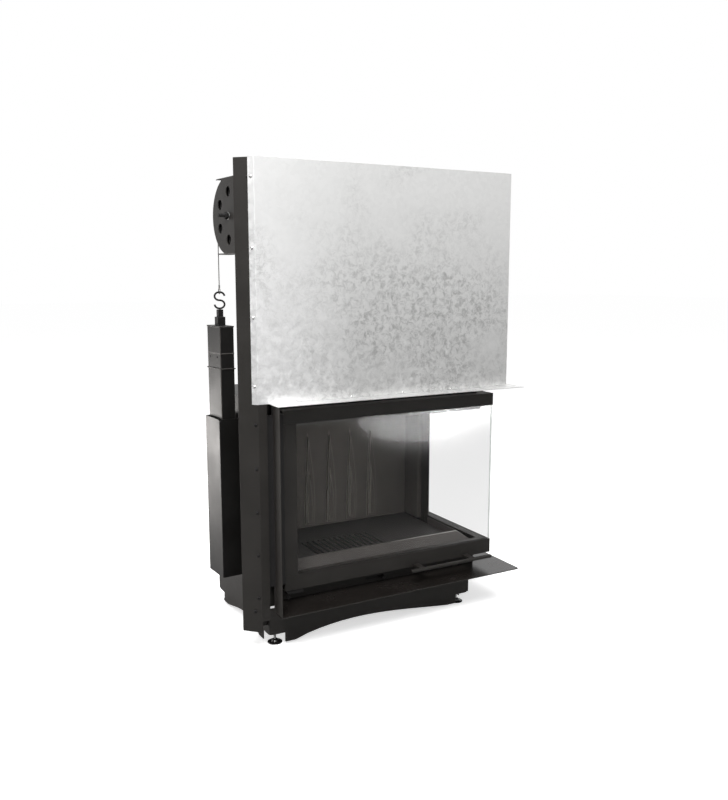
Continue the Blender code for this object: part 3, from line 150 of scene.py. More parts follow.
class InsertColours(bpy.types.PropertyGroup):
    """Colours of the insert's finishes."""

    paint: colour_property("Stove paint", "Matt heat-proof paint on the outer sheets", "#262422")
    deep_paint: colour_property("Carriage paint", "Paint on the door's arms and inner sheets", "#1d1c1c")
    ledge: colour_property("Ledge paint", "Paint of the plate under the door, rubbed by hands", "#211e1c")
    wire: colour_property("Rope wire", "Dull galvanised wire of the ropes", "#7d7b78")
    zinc_bath: colour_property("Galvanised sheet", "Hot-dip zinc on the covers", "#dcdcdb")
    zinc_plate: colour_property("Zinc plating", "Plated washers, screws and the ash pan", "#b9bab8")
    chrome: colour_property("Chromed studs", "Studs and nuts of the levelling feet", "#d5d5d4")
    # Painted shade: darker than the stove paint, for the shade on the fronts of the housings and weights.
    weight: colour_property("Counterweight paint", "Thin paint on the weights and pulleys", "#121110")
    lining: colour_property("Fired lining", "Pressed vermiculite boards", "#4a4743")
    # Painted highlight: a pale colour along the boards' relief edges, for light catching them.
    lining_edge: colour_property("Rubbed lining edge", "Edges of the boards, rubbed pale", "#7b7670")
    rim: colour_property("Rim paint", "Paint of the hearth's rim, paled by the heat", "#373432")
    # Painted highlight: a pale colour along the rim's top fold and corner, for light on them.
    rim_edge: colour_property("Rim edge", "Pale primer along the rim's worn folds", "#8c8a87")
    # Painted highlight: the grey along the weights' edges stands in for light catching them.
    weight_edge: colour_property(
        "Bare weight edge", "Edges of the weights, rubbed through the paint", "#5a5754",
    )
    iron: colour_property("Cast iron", "Grate and hearth plate", "#2c2a29")
    glass: colour_property("Ceramic glass", "Panes of the door", "#ffffff")
    glass_edge: colour_property("Ground glass edge", "Ground edges of the panes", "#a9adab")
    floor: colour_property("Floor", "Studio floor", "#f2f2f2")


class InsertSizes(bpy.types.PropertyGroup):
    """Sizes of the insert's small parts and patterns."""

    sheet_edge: length_property("Sheet edge", "Broken edge of cut sheet", 0.0003)
    block_edge: length_property("Block edge", "Broken edge of bars, blocks and boards", 0.0008)
    board_edge: length_property("Board edge", "Crumbled edge of a fired board", 0.0016)
    # The width of the rim's painted highlight.
    rim_highlight_width: length_property("Rim wear", "Width of the worn folds of the hearth's rim", 0.0019)
    screw_radius: length_property("Screw head", "Radius of a casing screw's head", 0.0046)
    rivet_radius: length_property("Rivet head", "Radius of a blind rivet's head", 0.0032)
    spangle: length_property("Spangle", "Width of a crystal in the zinc", 0.011)
    paint_grain: length_property("Paint grain", "Grain of the sprayed paint, drawn coarse to show", 0.0016)
    rope_lay: length_property("Rope lay", "Length of one turn of the rope's strands", 0.018)
    eye_height: length_property("Rope eye", "Height of the eye at the rope's end", 0.024)


class InsertStage(bpy.types.PropertyGroup):
    """Camera and light."""

    lens: bpy.props.FloatProperty(
        name="Lens", description="Focal length on a 36 mm sensor", default=37.9, min=1.0,
        unit="CAMERA", subtype="DISTANCE_CAMERA",
    )
    ambient: bpy.props.FloatProperty(
        name="Room light", description="Strength of the white room", default=0.42, min=0.0,
    )
    key: power_property("Front light", "Power of the soft light at the front", 114.0)
    side: power_property("Left light", "Power of the soft light behind the left side", 26.0)
    top: power_property("Top light", "Power of the soft light overhead", 70.0)


def add_node(tree, kind, inputs=None, **settings):
    """Adds a shader node with its settings. An input is a value, a socket, or a node to link from."""
    node = tree.nodes.new("ShaderNode" + kind)
    for name, value in settings.items():
        setattr(node, name, value)
    for key, value in (inputs or {}).items():
        source = value.outputs[0] if isinstance(value, bpy.types.Node) else value
        if isinstance(source, bpy.types.NodeSocket):
            tree.links.new(source, node.inputs[key])
        else:
            node.inputs[key].default_value = value
    return node


def emptied(owner):
    """Clears the nodes of a material or a world, and returns its own function for adding a node."""
    owner.use_nodes = True
    owner.node_tree.nodes.clear()
    return partial(add_node, owner.node_tree)


def new_material(name):
    """An empty material, its function for adding a node, and the object's own coordinates in metres."""
    material = bpy.data.materials.new(name)
    add = emptied(material)
    return material, add, add("TexCoord").outputs["Object"]


def shaded(material, add, shader):
    """Ends a material with its shader."""
    add("OutputMaterial", {"Surface": shader})
    return material


def tinted(add, factor, colour, dark, light):
    """A colour between a darker and a lighter tone of itself, by a factor socket."""
    tones = [(*[min(1.0, c * share) for c in colour[:3]], 1.0) for share in (dark, light)]
    return add("Mix", {0: factor, 6: tones[0], 7: tones[1]}, data_type="RGBA").outputs[2]


def sprayed_stove_paint(name, colour, roughness, level):
    """Sheet steel, blasted and sprayed with matt heat-proof paint: a dry, fine grain with soft clouds
    where the coat lies thicker, and a broad dull sheen at a low angle."""
    cloud_size = 0.11
    grain_size = bpy.context.scene.insert_sizes.paint_grain
    material, add, coords = new_material(name)
    cloud = add("TexNoise", {"Vector": coords, "Scale": 1 / cloud_size, "Detail": 3.0})
    grain = add("TexNoise", {"Vector": coords, "Scale": 1 / grain_size, "Detail": 3.0, "Roughness": 0.7})
    spread = add("MapRange", {
        "Value": cloud, "From Min": 0.35, "From Max": 0.65,
        "To Min": roughness - 0.04, "To Max": roughness + 0.05,
    })
    speck = add("Math", {0: grain, 1: cloud}, operation="MULTIPLY")
    bump = add("Bump", {"Strength": 0.22, "Distance": 0.00025, "Height": grain})
    shader = add("BsdfPrincipled", {
        "Base Color": tinted(add, speck, colour, 0.70, 1.70),
        "Roughness": spread, "Specular IOR Level": level, "Normal": bump,
    })
    return shaded(material, add, shader)


def galvanised_sheet(name, colour):
    """Hot-dip galvanised steel: zinc freezes in flat crystals about a centimetre wide, each at its own
    tilt, so the sheet shows a soft patchwork, with duller clouds where the zinc has dulled. It is also
    painted lighter towards the left and low down, a painted highlight where the front light falls."""
    spangle = bpy.context.scene.insert_sizes.spangle
    wobble_size, mottle_size, cloud_size = 0.006, 0.019, 0.30
    material, add, coords = new_material(name)
    wobble = add("TexNoise", {"Vector": coords, "Scale": 1 / wobble_size, "Detail": 2.0})
    shift = add("VectorMath", {0: wobble.outputs["Color"], "Scale": spangle * 0.55}, operation="SCALE")
    bent_coords = add("VectorMath", {0: coords, 1: shift}, operation="ADD")
    crystal = add("TexVoronoi", {"Vector": bent_coords, "Scale": 1 / spangle})
    tilt = add("SeparateColor", {"Color": crystal.outputs["Color"]}).outputs
    spot = add("SeparateXYZ", {"Vector": coords}).outputs
    ranges = (  # over height and width: two where the zinc stays clean, and two for a painted highlight at the left and low down
        (spot["Z"], 1.32, 1.02, -0.13, 0.05), (spot["X"], -0.34, -0.12, -0.10, 0.03),
        (spot["X"], -0.43, -0.10, 1.0, 0.0), (spot["Z"], 1.30, 0.95, 0.30, 1.0),
    )
    clean_top, clean_left, painted_highlight_left, painted_highlight_low = (
        add("MapRange", dict(zip(("Value", "From Min", "From Max", "To Min", "To Max"), values)))
        for values in ranges
    )
    cloud = add("TexNoise", {"Vector": coords, "Scale": 1 / cloud_size, "Detail": 3.0})
    upper = add("Math", {0: cloud, 1: clean_top})
    field = add("Math", {0: upper, 1: clean_left})
    dulled = add("MapRange", {"Value": field, "From Min": 0.38, "From Max": 0.60})
    mottle = add("TexNoise", {
        "Vector": coords, "Scale": 1 / mottle_size, "Detail": 8.0, "Roughness": 0.82, "Distortion": 0.6,
    })
    speckle = add("MapRange", {"Value": mottle, "From Min": 0.46, "From Max": 0.60})
    dark = add("Math", {0: speckle, 1: dulled}, operation="MULTIPLY")
    patch = add("Mix", {0: 0.90, 2: tilt["Red"], 3: dark})
    # Painted highlight: the colour is lifted towards the left and low down, where the front light falls.
    painted_highlight = add("Math", {0: painted_highlight_left, 1: painted_highlight_low}, operation="MULTIPLY")
    painted_highlight_colour = add("Mix", {
        0: painted_highlight, 6: tinted(add, patch, colour, 1.04, 0.60), 7: tinted(add, patch, colour, 1.50, 1.08),
    }, data_type="RGBA")
    rough = add("MapRange", {"Value": tilt["Green"], "To Min": 0.34, "To Max": 0.46})
    bump = add("Bump", {"Strength": 0.05, "Distance": 0.0003, "Height": tilt["Blue"]})
    shader = add("BsdfPrincipled", {
        "Base Color": painted_highlight_colour.outputs[2], "Metallic": 0.80, "Roughness": rough, "Normal": bump,
    })
    return shaded(material, add, shader)


def plated_steel(name, colour, roughness):
    """Bright plated steel, drawn or turned: faint lines of the tool and a clear metal gleam."""
    line_size = 0.0022
    material, add, coords = new_material(name)
    lines = add("TexNoise", {"Vector": coords, "Scale": 1 / line_size, "Detail": 2.0})
    rough = add("MapRange", {"Value": lines, "To Min": roughness * 0.7, "To Max": roughness * 1.3})
    shader = add("BsdfPrincipled", {
        "Base Color": tinted(add, lines, colour, 0.85, 1.12), "Metallic": 1.0, "Roughness": rough,
    })
    return shaded(material, add, shader)


def pressed_vermiculite(name, colour):
    """Pressed and fired vermiculite board: matt, with flakes a few millimetres wide and small pits."""
    flake_size, cloud_size = 0.004, 0.07
    material, add, coords = new_material(name)
    flake = add("TexVoronoi", {"Vector": coords, "Scale": 1 / flake_size})
    tone = add("SeparateColor", {"Color": flake.outputs["Color"]})
    cloud = add("TexNoise", {"Vector": coords, "Scale": 1 / cloud_size, "Detail": 4.0})
    patch = add("Mix", {0: 0.6, 2: tone.outputs["Red"], 3: cloud})
    bump = add("Bump", {"Strength": 0.35, "Distance": 0.0004, "Height": flake.outputs["Distance"]})
    shader = add("BsdfPrincipled", {
        "Base Color": tinted(add, patch, colour, 0.75, 1.3),
        "Roughness": 0.9, "Specular IOR Level": 0.25, "Normal": bump,
    })
    return shaded(material, add, shader)


def sand_cast_iron(name, colour):
    """Cast iron from a sand mould: dark, with the sand's pimpled skin about two millimetres wide."""
    pimple_size = 0.0018
    material, add, coords = new_material(name)
    sand = add("TexNoise", {
        "Vector": coords, "Scale": 1 / pimple_size, "Detail": 4.0, "Roughness": 0.65,
    })
    bump = add("Bump", {"Strength": 0.5, "Distance": 0.0004, "Height": sand})
    shader = add("BsdfPrincipled", {
        "Base Color": tinted(add, sand, colour, 0.7, 1.4),
        "Metallic": 0.2, "Roughness": 0.62, "Normal": bump,
    })
    return shaded(material, add, shader)


def clear_ceramic_glass(name, colour):
    """Clear ceramic glass, floated and heat-treated: the fire chamber shows through it, with a faint
    reflection of the room. Lamps shine through it."""
    wave_size = 0.20
    material, add, coords = new_material(name)
    wave = add("TexNoise", {"Vector": coords, "Scale": 1 / wave_size, "Detail": 1.0})
    bump = add("Bump", {"Strength": 0.04, "Distance": 0.001, "Height": wave})
    pane = add("BsdfPrincipled", {
        "Base Color": colour, "Roughness": 0.0, "IOR": 1.06, "Transmission Weight": 1.0,
        "Coat Weight": 1.0, "Coat Roughness": 0.10, "Coat IOR": 1.13, "Normal": bump,
    })
    clear = add("BsdfTransparent", {"Color": (1.0, 1.0, 1.0, 1.0)})
    shadow = add("LightPath").outputs["Is Shadow Ray"]
    return shaded(material, add, add("MixShader", {0: shadow, 1: pane, 2: clear}))


def ground_glass_edge(name, colour):
    """The ground edge of a pane: frosted by the wheel, so it scatters light and looks pale."""
    grit_size = 0.001
    material, add, coords = new_material(name)
    grit = add("TexNoise", {"Vector": coords, "Scale": 1 / grit_size, "Detail": 3.0})
    shader = add("BsdfPrincipled", {
        "Base Color": tinted(add, grit, colour, 0.85, 1.15), "Roughness": 0.6,
    })
    return shaded(material, add, shader)


# What each gives the eye: paint is matt and even, deep_paint drier and darker. ledge has the sheen of
# hands on it. weight is a thin smooth dip coat, darkened as a painted shade for the fronts of the housings
# and weights, and the weights' edges get a grey painted highlight. rim is paled by the heat, and its top
# fold and corner a pale painted highlight. foot is glossy, and the boards' edges a pale painted highlight.
# zinc is a soft grey metal, chrome nearly a mirror, and wire dull.
FINISHES = {  # material, slot in the record, maker, colour, then roughness and sheen
    "paint": ("stove_paint_sprayed", "black_steel", sprayed_stove_paint, "paint", 0.48, 0.24),
    "deep_paint": ("carriage_paint_sprayed", "deep_black", sprayed_stove_paint, "deep_paint", 0.60, 0.20),
    "ledge": ("ledge_paint_rubbed", "black_steel", sprayed_stove_paint, "ledge", 0.24, 0.55),
    "weight": ("weight_paint_dipped", "cast_weight", sprayed_stove_paint, "weight", 0.45, 0.30),
    "weight_edge": ("weight_edge_rubbed", "cast_weight", sprayed_stove_paint, "weight_edge", 0.40, 0.40),
    "rim": ("rim_paint_heated", "black_steel", sprayed_stove_paint, "rim", 0.40, 0.35),
    "rim_edge": ("rim_edge_worn_primer", "black_steel", sprayed_stove_paint, "rim_edge", 0.40, 0.50),
    "foot": ("foot_disc_enamelled", "deep_black", sprayed_stove_paint, "deep_paint", 0.22, 0.50),
    "lining_edge": ("vermiculite_edge_rubbed", "lining", sprayed_stove_paint, "lining_edge", 0.80, 0.30),
    "zinc": ("zinc_plated_steel", "zinc_steel", plated_steel, "zinc_plate", 0.30),
    "chrome": ("chromed_steel_turned", "chrome", plated_steel, "chrome", 0.12),
    "wire": ("rope_wire_galvanised", "zinc_steel", plated_steel, "wire", 0.45),
    "galvanised": ("galvanised_sheet_spangled", "galvanised", galvanised_sheet, "zinc_bath"),
    "lining": ("vermiculite_board_pressed", "lining", pressed_vermiculite, "lining"),
    "iron": ("cast_iron_sand_moulded", "cast_iron", sand_cast_iron, "iron"),
    "glass": ("ceramic_glass_floated", "clear_glass", clear_ceramic_glass, "glass"),
    "glass_edge": ("glass_edge_ground", "clear_glass", ground_glass_edge, "glass_edge"),
}
PAINTED = (
    "plinth_front", "plinth_frame", "left_column", "rear_column", "top_rail", "left_flange",
    "shell_floor", "shell_walls", "shell_lintel", "lower_fascia", "shell_top", "smoke_dome",
    "door_top_bar", "door_bottom_bar", "left_stile", "rear_stile",
)


def finish(key):
    """The material of one finish, made on its first use."""
    name, _, make, colour, *values = FINISHES[key]
    if name in bpy.data.materials:
        return bpy.data.materials[name]
    return make(name, getattr(bpy.context.scene.insert_colours, colour), *values)


def circle(radius, steps):
    """A circle's points."""
    angles = [2 * pi * i / steps for i in range(steps)]
    return [(radius * cos(angle), radius * sin(angle)) for angle in angles]


def around(radius, level, steps):
    """One ring of points about Z."""
    return [(x, y, level) for x, y in circle(radius, steps)]


def hexagon(apothem, steps, limit=inf):
    """A hexagon's points, with its corners cut round at a limit."""
    points = []
    for i in range(steps):
        angle = 2 * pi * i / steps
        reach = min(apothem / cos(angle % (pi / 3) - pi / 6), limit)
        points.append((reach * cos(angle), reach * sin(angle)))
    return points


def stranded_section(radius, strands=6, sides=36):
    """A wire rope's section: strands laid round a core."""
    section = []
    for i in range(sides):
        angle = 2 * pi * i / sides
        reach = radius * (0.84 + 0.16 * abs(cos(strands * angle / 2)))
        section.append((reach * cos(angle), reach * sin(angle)))
    return section


def loft(rings, place=None, wrap=False):
    """A closed skin through rings of points, capped at both ends unless it wraps round."""
    place = place or Matrix.Identity(4)
    bm = bmesh.new()
    rows = [[bm.verts.new(place @ Vector(point)) for point in ring] for ring in rings]
    following = rows[1:] + rows[:1] if wrap else rows[1:]
    for low, high in zip(rows, following):
        for i in range(len(low)):
            j = (i + 1) % len(low)
            bm.faces.new((low[i], low[j], high[j], high[i]))
    if not wrap:
        bm.faces.new(rows[0][::-1])
        bm.faces.new(rows[-1])
    bmesh.ops.remove_doubles(bm, verts=bm.verts, dist=1e-7)
    bmesh.ops.recalc_face_normals(bm, faces=bm.faces)
    return bm


def turned(profile, steps, place=None, wrap=False):
    """A turned shape about Z from its (radius, height) profile."""
    return loft([around(radius, level, steps) for radius, level in profile], place, wrap)


def swept(points, section, place=None, twist=0.0):
    """A section carried along points, turned by twist radians for each metre."""
    points = [Vector(point) for point in points]
    rings = []
    side = None
    run = 0.0
    for i, point in enumerate(points):
        ahead = points[min(i + 1, len(points) - 1)]
        behind = points[max(i - 1, 0)]
        along = (ahead - behind).normalized()
        if side is None:
            side = along.orthogonal().normalized()
        side = (side - along * side.dot(along)).normalized()
        other = along.cross(side)
        run += (point - behind).length
        turn = twist * run
        rings.append([
            point + side * (x * cos(turn) - y * sin(turn)) + other * (x * sin(turn) + y * cos(turn))
            for x, y in section
        ])
    return loft(rings, place)


def hexagonal(across_flats, length, place=None, bore=0.0, steps=48):
    """A hexagon nut or bolt head about Z, with chamfered corners and a bore."""
    apothem = across_flats / 2
    corner = apothem / cos(pi / 6)
    chamfer = across_flats * 0.08
    levels = (
        (0.0, apothem * 0.98), (chamfer, corner), (length - chamfer, corner), (length, apothem * 0.98),
    )
    rings = [[(x, y, z) for x, y in hexagon(apothem, steps, limit)] for z, limit in levels]
    if bore:
        rings += [around(bore, length, steps), around(bore, 0.0, steps)]
    return loft(rings, place, wrap=bool(bore))


def threaded(radius, pitch, low, high, place=None, sides=20):
    """A screw thread about Z."""
    depth = pitch * 0.55
    steps = max(2, round((high - low) / pitch * 6))
    rings = []
    for i in range(steps + 1):
        level = low + (high - low) * i / steps
        ring = []
        for j in range(sides):
            angle = 2 * pi * j / sides
            phase = (level / pitch - j / sides) % 1.0
            reach = radius - depth * abs(2 * phase - 1)
            ring.append((reach * cos(angle), reach * sin(angle), level))
        rings.append(ring)
    return loft(rings, place)


def socket_screw(radius, place):
    """A domed screw head on Z with a hexagon socket."""
    steps = 24
    height = radius * 0.72
    band = radius * 0.10
    profile = [(radius * 0.96, -0.0004), (radius, 0.0), (radius, band)]
    profile += [
        (radius * cos(radians(a)), band + (height - band) * sin(radians(a))) for a in (20, 40, 55, 66)
    ]
    socket = hexagon(radius * 0.34, steps)
    rings = [around(r, z, steps) for r, z in profile]
    rings += [[(x, y, height * share) for x, y in socket] for share in (0.97, 0.40)]
    return loft(rings, place)


def blind_rivet(radius, place):
    """A blind rivet's domed head on Z, with the dimple of its pin."""
    shares = ((0.97, 0.16), (0.80, 0.36), (0.55, 0.47), (0.34, 0.50), (0.30, 0.38), (0.0, 0.36))
    profile = [(radius * 0.95, -0.0003), (radius, 0.0)]
    profile += [(radius * out, radius * up) for out, up in shares]
    return turned(profile, 20, place)


def plate(loops, near, far, edge, place):
    """A flat plate in its own XY plane from closed loops, holes included, with broken edges."""
    curve = bpy.data.curves.new("plate", "CURVE")
    curve.dimensions = "2D"
    curve.fill_mode = "BOTH"
    curve.extrude = (far - near) / 2 - edge
    curve.bevel_depth = edge
    curve.bevel_resolution = 0
    curve.offset = -edge
    for points in loops:
        spline = curve.splines.new("POLY")
        spline.points.add(len(points) - 1)
        for target, (x, y) in zip(spline.points, points):
            target.co = (x, y, 0.0, 1.0)
        spline.use_cyclic_u = True
    holder = bpy.data.objects.new("plate", curve)
    mesh = bpy.data.meshes.new_from_object(holder)
    bpy.data.objects.remove(holder)
    bpy.data.curves.remove(curve)
    bm = bmesh.new()
    bm.from_mesh(mesh)
    bpy.data.meshes.remove(mesh)
    bmesh.ops.remove_doubles(bm, verts=bm.verts, dist=1e-6)
    bm.transform(place @ Matrix.Translation((0.0, 0.0, (near + far) / 2)))
    bmesh.ops.recalc_face_normals(bm, faces=bm.faces)
    return bm


def linked(name, data):
    """A new object in the scene."""
    obj = bpy.data.objects.new(name, data)
    bpy.context.scene.collection.objects.link(obj)
    return obj


def put(name, key, body, solids, stands_for=(), sharp=35.0):
    """Adds one piece from its solids, with its finish, its body and the CAD nodes that it stands for."""
    mesh = bpy.data.meshes.new(name)
    whole = bmesh.new()
    for solid in solids:
        step = bpy.data.meshes.new("step")
        solid.to_mesh(step)
        solid.free()
        whole.from_mesh(step)
        bpy.data.meshes.remove(step)
    whole.to_mesh(mesh)
    whole.free()
    mesh.shade_smooth()
    mesh.set_sharp_from_angle(angle=radians(sharp))
    mesh.materials.append(finish(key))
    obj = linked(name, mesh)
    bpy.context.view_layer.update()
    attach(obj, body)
    if stands_for:
        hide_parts(*stands_for)
    return obj


def dressed(node, key, edge, edge_highlight_finish=None):
    """The CAD node again, with its flats merged and its edges broken, or lit by a painted highlight in
    another finish.
    """
    name = node + "_sheet"
    mesh = bpy.data.meshes.new(name)
    bm = bmesh.new()
    bm.from_mesh(frame["nodes"][node].data)
    bmesh.ops.remove_doubles(bm, verts=bm.verts, dist=2e-6)
    bmesh.ops.dissolve_limit(
        bm, angle_limit=FLAT, verts=bm.verts, edges=bm.edges, use_dissolve_boundaries=False,
    )
    bm.to_mesh(mesh)
    bm.free()
    mesh.shade_smooth()
    mesh.set_sharp_from_angle(angle=CREASE)
    mesh.materials.clear()
    mesh.materials.append(finish(key))
    if edge_highlight_finish:
        mesh.materials.append(finish(edge_highlight_finish))
    obj = linked(name, mesh)
    bevel = obj.modifiers.new("edge", "BEVEL")
    bevel.width = edge
    bevel.segments = 2
    bevel.limit_method = "ANGLE"
    bevel.angle_limit = CREASE
    bevel.use_clamp_overlap = True
    bevel.material = 1 if edge_highlight_finish else -1
    level = obj.modifiers.new("level", "WEIGHTED_NORMAL")
    level.weight = 100
    bpy.context.view_layer.update()
    shaped = bpy.data.meshes.new_from_object(obj.evaluated_get(bpy.context.evaluated_depsgraph_get()))
    obj.modifiers.clear()
    obj.data = shaped
    bpy.data.meshes.remove(mesh)
    shaped.name = name
    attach(obj, home[node])
    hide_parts(node)


def corners(node):
    """The low and the high corner of a CAD node's box."""
    return [Vector(corner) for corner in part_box(node)]


def facing(point, normal, spin=0.0):
    """A place on a surface, with Z along its normal, spun by degrees."""
    turn = Vector(normal).to_track_quat("Z", "Y").to_matrix().to_4x4()
    return Matrix.Translation(Vector(point)) @ turn @ Matrix.Rotation(radians(spin), 4, "Z")


def at(x, y, z):
    """A point from the casing's front left fold."""
    return fold + Vector((x, y, z))


def framed(columns):
    """A matrix from its three axes and its origin."""
    matrix = Matrix.Identity(4)
    for i, column in enumerate(columns):
        matrix.col[i][0:3] = column
    return matrix


def lift_frame(side):
    """The frame of one lift: X along its axle into the firebox, Y towards the weight, Z up."""
    joint = joints[side + "_pulley_turn"]
    inward = Vector(joint["axis"])
    hand = 1.0 if side == "left" else -1.0
    back = Vector((-inward.y, inward.x, 0.0)) * hand
    return framed((inward, back, Vector((0.0, 0.0, 1.0)), Vector(joint["pos_m"])))


class INSERT_OT_stage(bpy.types.Operator):
    """Sets the camera, the pale floor and the soft light"""

    bl_idname = "insert.stage"
    bl_label = "Stage"

    def execute(self, context):
        scene = context.scene
        scene.view_settings.view_transform = "Standard"
        self.make_camera(scene)
        self.make_world(scene)
        self.make_floor(scene.insert_colours.floor)
        self.make_lamps(scene.insert_stage)
        return {"FINISHED"}

    def make_camera(self, scene):
        """A camera at chest height, before the front left corner."""
        data = bpy.data.cameras.new("camera")
        data.lens = scene.insert_stage.lens
        data.sensor_width = 36.0
        ahead = Vector((0.4783, 0.8653, -0.1498)).normalized()
        right = ahead.cross(Vector((0.0, 0.0, 1.0))).normalized()
        eye = Vector((-1.287338, -2.442162, 1.103))
        scene.camera = linked("camera", data)
        scene.camera.matrix_world = framed((right, right.cross(ahead), -ahead, eye))

    def ray_kinds(self, add):
        """Factors that are 1 for mirrored rays, and for rays seen straight or through glass."""
        path = add("LightPath").outputs
        shown = add("Math", {
            0: path["Is Camera Ray"], 1: path["Is Transmission Ray"],
        }, operation="MAXIMUM")
        return path["Is Glossy Ray"], shown

    def make_world(self, scene):
        """A white room for the eye and for reflections, and a softer one for its light."""
        scene.world = bpy.data.worlds.new("white_room")
        add = emptied(scene.world)
        glossy, shown = self.ray_kinds(add)
        ambient = scene.insert_stage.ambient
        toward = add("TexCoord").outputs["Generated"]
        dark_side = add("VectorMath", {0: toward, 1: (-0.75, -0.46, -0.60)}, operation="DOT_PRODUCT")
        walls = add("MapRange", {
            "Value": dark_side.outputs["Value"], "From Min": 0.5, "From Max": 0.95, "To Min": 1.0,
            "To Max": 0.20,
        })
        mirrored = add("Mix", {
            0: glossy, 6: (ambient, ambient, ambient, 1.0), 7: walls,
        }, data_type="RGBA")
        colour = add("Mix", {
            0: shown, 6: mirrored.outputs[2], 7: (1.0, 1.0, 1.0, 1.0),
        }, data_type="RGBA")
        room = add("Background", {"Color": colour.outputs[2], "Strength": 1.0})
        add("OutputWorld", {"Surface": room})

    def make_floor(self, colour):
        """A wide pale floor that keeps the shadow."""
        half_width, mirror_share, lift = 30.0, 0.30, 0.62
        bm = bmesh.new()
        bmesh.ops.create_grid(bm, x_segments=4, y_segments=4, size=half_width)
        mesh = bpy.data.meshes.new("floor")
        bm.to_mesh(mesh)
        bm.free()
        floor = linked("floor", mesh)
        material = bpy.data.materials.new("studio_floor_painted")
        add = emptied(material)
        glossy, shown = self.ray_kinds(add)
        dimmed = (*[c * mirror_share for c in colour[:3]], 1.0)
        tone = add("Mix", {0: glossy, 6: colour, 7: dimmed}, data_type="RGBA")
        matt = add("BsdfDiffuse", {"Color": tone.outputs[2], "Roughness": 0.0})
        glow_colour = add("Mix", {
            0: shown, 6: (0.0, 0.0, 0.0, 1.0), 7: (lift, lift, lift, 1.0),
        }, data_type="RGBA")
        glow = add("Emission", {"Color": glow_colour.outputs[2], "Strength": 1.0})
        mesh.materials.append(shaded(material, add, add("AddShader", {0: matt, 1: glow})))

    def make_lamps(self, setup):
        """Soft lamps. The two round ones are flagged to the front pane, for its reflection alone."""
        white, warm = (1.0, 1.0, 1.0), (1.0, 0.965, 0.935)
        broad, oval = "RECTANGLE", "ELLIPSE"
        lamps = (  # name, shape, power, colour, width, height, place, aim
            ("front_light", broad, setup.key, white, 1.6, 1.2, (-1.45, -1.95, 2.9), (-0.1, -0.2, 1.25)),
            ("left_light", broad, setup.side, warm, 1.5, 0.6, (-1.55, 1.30, 0.22), (-0.45, -0.1, 0.35)),
            ("top_light", broad, setup.top, white, 2.2, 2.2, (0.3, 0.4, 3.4), (0.0, 0.0, 0.7)),
            ("pane_light_right", oval, 15.0, white, 0.56, 0.17, (1.50, -1.83, 0.36), (0.33, -0.24, 0.66)),
            ("pane_light_left", oval, 12.0, white, 0.60, 0.20, (1.16, -1.90, 0.28), (0.06, -0.24, 0.63)),
        )
        flagged = bpy.data.collections.new("flagged_to_the_pane")
        flagged.objects.link(frame["nodes"]["front_glass"])
        for name, shape, power, colour, width, height, spot, aim in lamps:
            data = bpy.data.lights.new(name, "AREA")
            data.shape = shape
            data.size = width
            data.size_y = height
            data.energy = power
            data.color = colour
            lamp = linked(name, data)
            lamp.location = spot
            lamp.rotation_euler = (Vector(aim) - Vector(spot)).to_track_quat("-Z", "Y").to_euler()
            lamp.visible_camera = False
            lamp.visible_transmission = False
            if shape == oval:
                lamp.light_linking.receiver_collection = flagged


class INSERT_OT_sheets(bpy.types.Operator):
    """Finishes the painted and galvanised sheets of the casing, the firebox and the plinth"""

    bl_idname = "insert.sheets"
    bl_label = "Sheets"

    def execute(self, context):
        finished = (
            ("paint", PAINTED),
            ("galvanised", ("front_cover", "side_cover", "casing_lip")),
            ("ledge", ("shelf_plate",)),
            ("deep_paint", ("left_arm", "rear_arm")),
            # The housings take the weights' paint, darkened as painted shade.
            ("weight", ("left_housing", "rear_housing")),
        )
        for key, nodes in finished:
            for node in nodes:
                dressed(node, key, context.scene.insert_sizes.sheet_edge)
        return {"FINISHED"}


class INSERT_OT_fire_chamber(bpy.types.Operator):
    """Finishes the linings with a painted highlight on the back board's edges, the baffle, the hearth with a
    painted highlight along its rim, the grate and the ash pan
    """

    bl_idname = "insert.fire_chamber"
    bl_label = "Fire chamber"

    def execute(self, context):
        sizes = context.scene.insert_sizes
        # The back board's relief edges get a pale painted highlight.
        dressed("back_lining", "lining", sizes.board_edge, "lining_edge")
        for node in ("left_lining", "right_lining", "baffle"):
            dressed(node, "lining", sizes.board_edge)
        for node in ("hearth", "grate"):
            dressed(node, "iron", sizes.block_edge)
        dressed("hearth_rim", "rim", sizes.block_edge)
        self.make_rim_highlight(sizes.rim_highlight_width)
        dressed("ash_pan", "zinc", sizes.sheet_edge)
        return {"FINISHED"}

    def make_rim_highlight(self, width):
        """A painted highlight in a pale colour along the rim's top fold and its corner."""
        fold_depth, fold_height = 0.1120, 0.2290
        foot_depth = 0.0730  # of the sloping plate, behind the casing's front
        fall = 0.82  # of the plate for each metre towards the front
        skin = 0.0003
        front_start, rear_end = 0.50, 0.2890
        inner_side = width * 2.2
        section = (
            (fold_depth + skin, fold_height - inner_side), (fold_depth + skin, fold_height + skin),
            (fold_depth - width, fold_height - fall * width + skin),
            (fold_depth - width, fold_height - fall * width),
            (fold_depth - skin, fold_height - skin), (fold_depth, fold_height - inner_side),
        )
        sixth = [((depth + 5 * fold_depth) / 6, (z + 5 * fold_height) / 6) for depth, z in section]
        rings = [
            [at(front_start, depth, z) for depth, z in sixth],
            [at(CASING_WIDTH - depth, depth, z) for depth, z in section],
            [at(CASING_WIDTH - depth, rear_end, z) for depth, z in section],
        ]
        half = width / 4
        ridge = ((-half, -skin), (half, -skin), (half, skin / 2), (0.0, skin), (-half, skin / 2))
        corner = []
        for depth in (fold_depth - width, foot_depth):
            z = fold_height - fall * (fold_depth - depth)
            corner.append([at(CASING_WIDTH - depth + x, depth + x, z + rise) for x, rise in ridge])
        put("hearth_rim_worn_folds", "rim_edge", "frame", [loft(rings), loft(corner)])


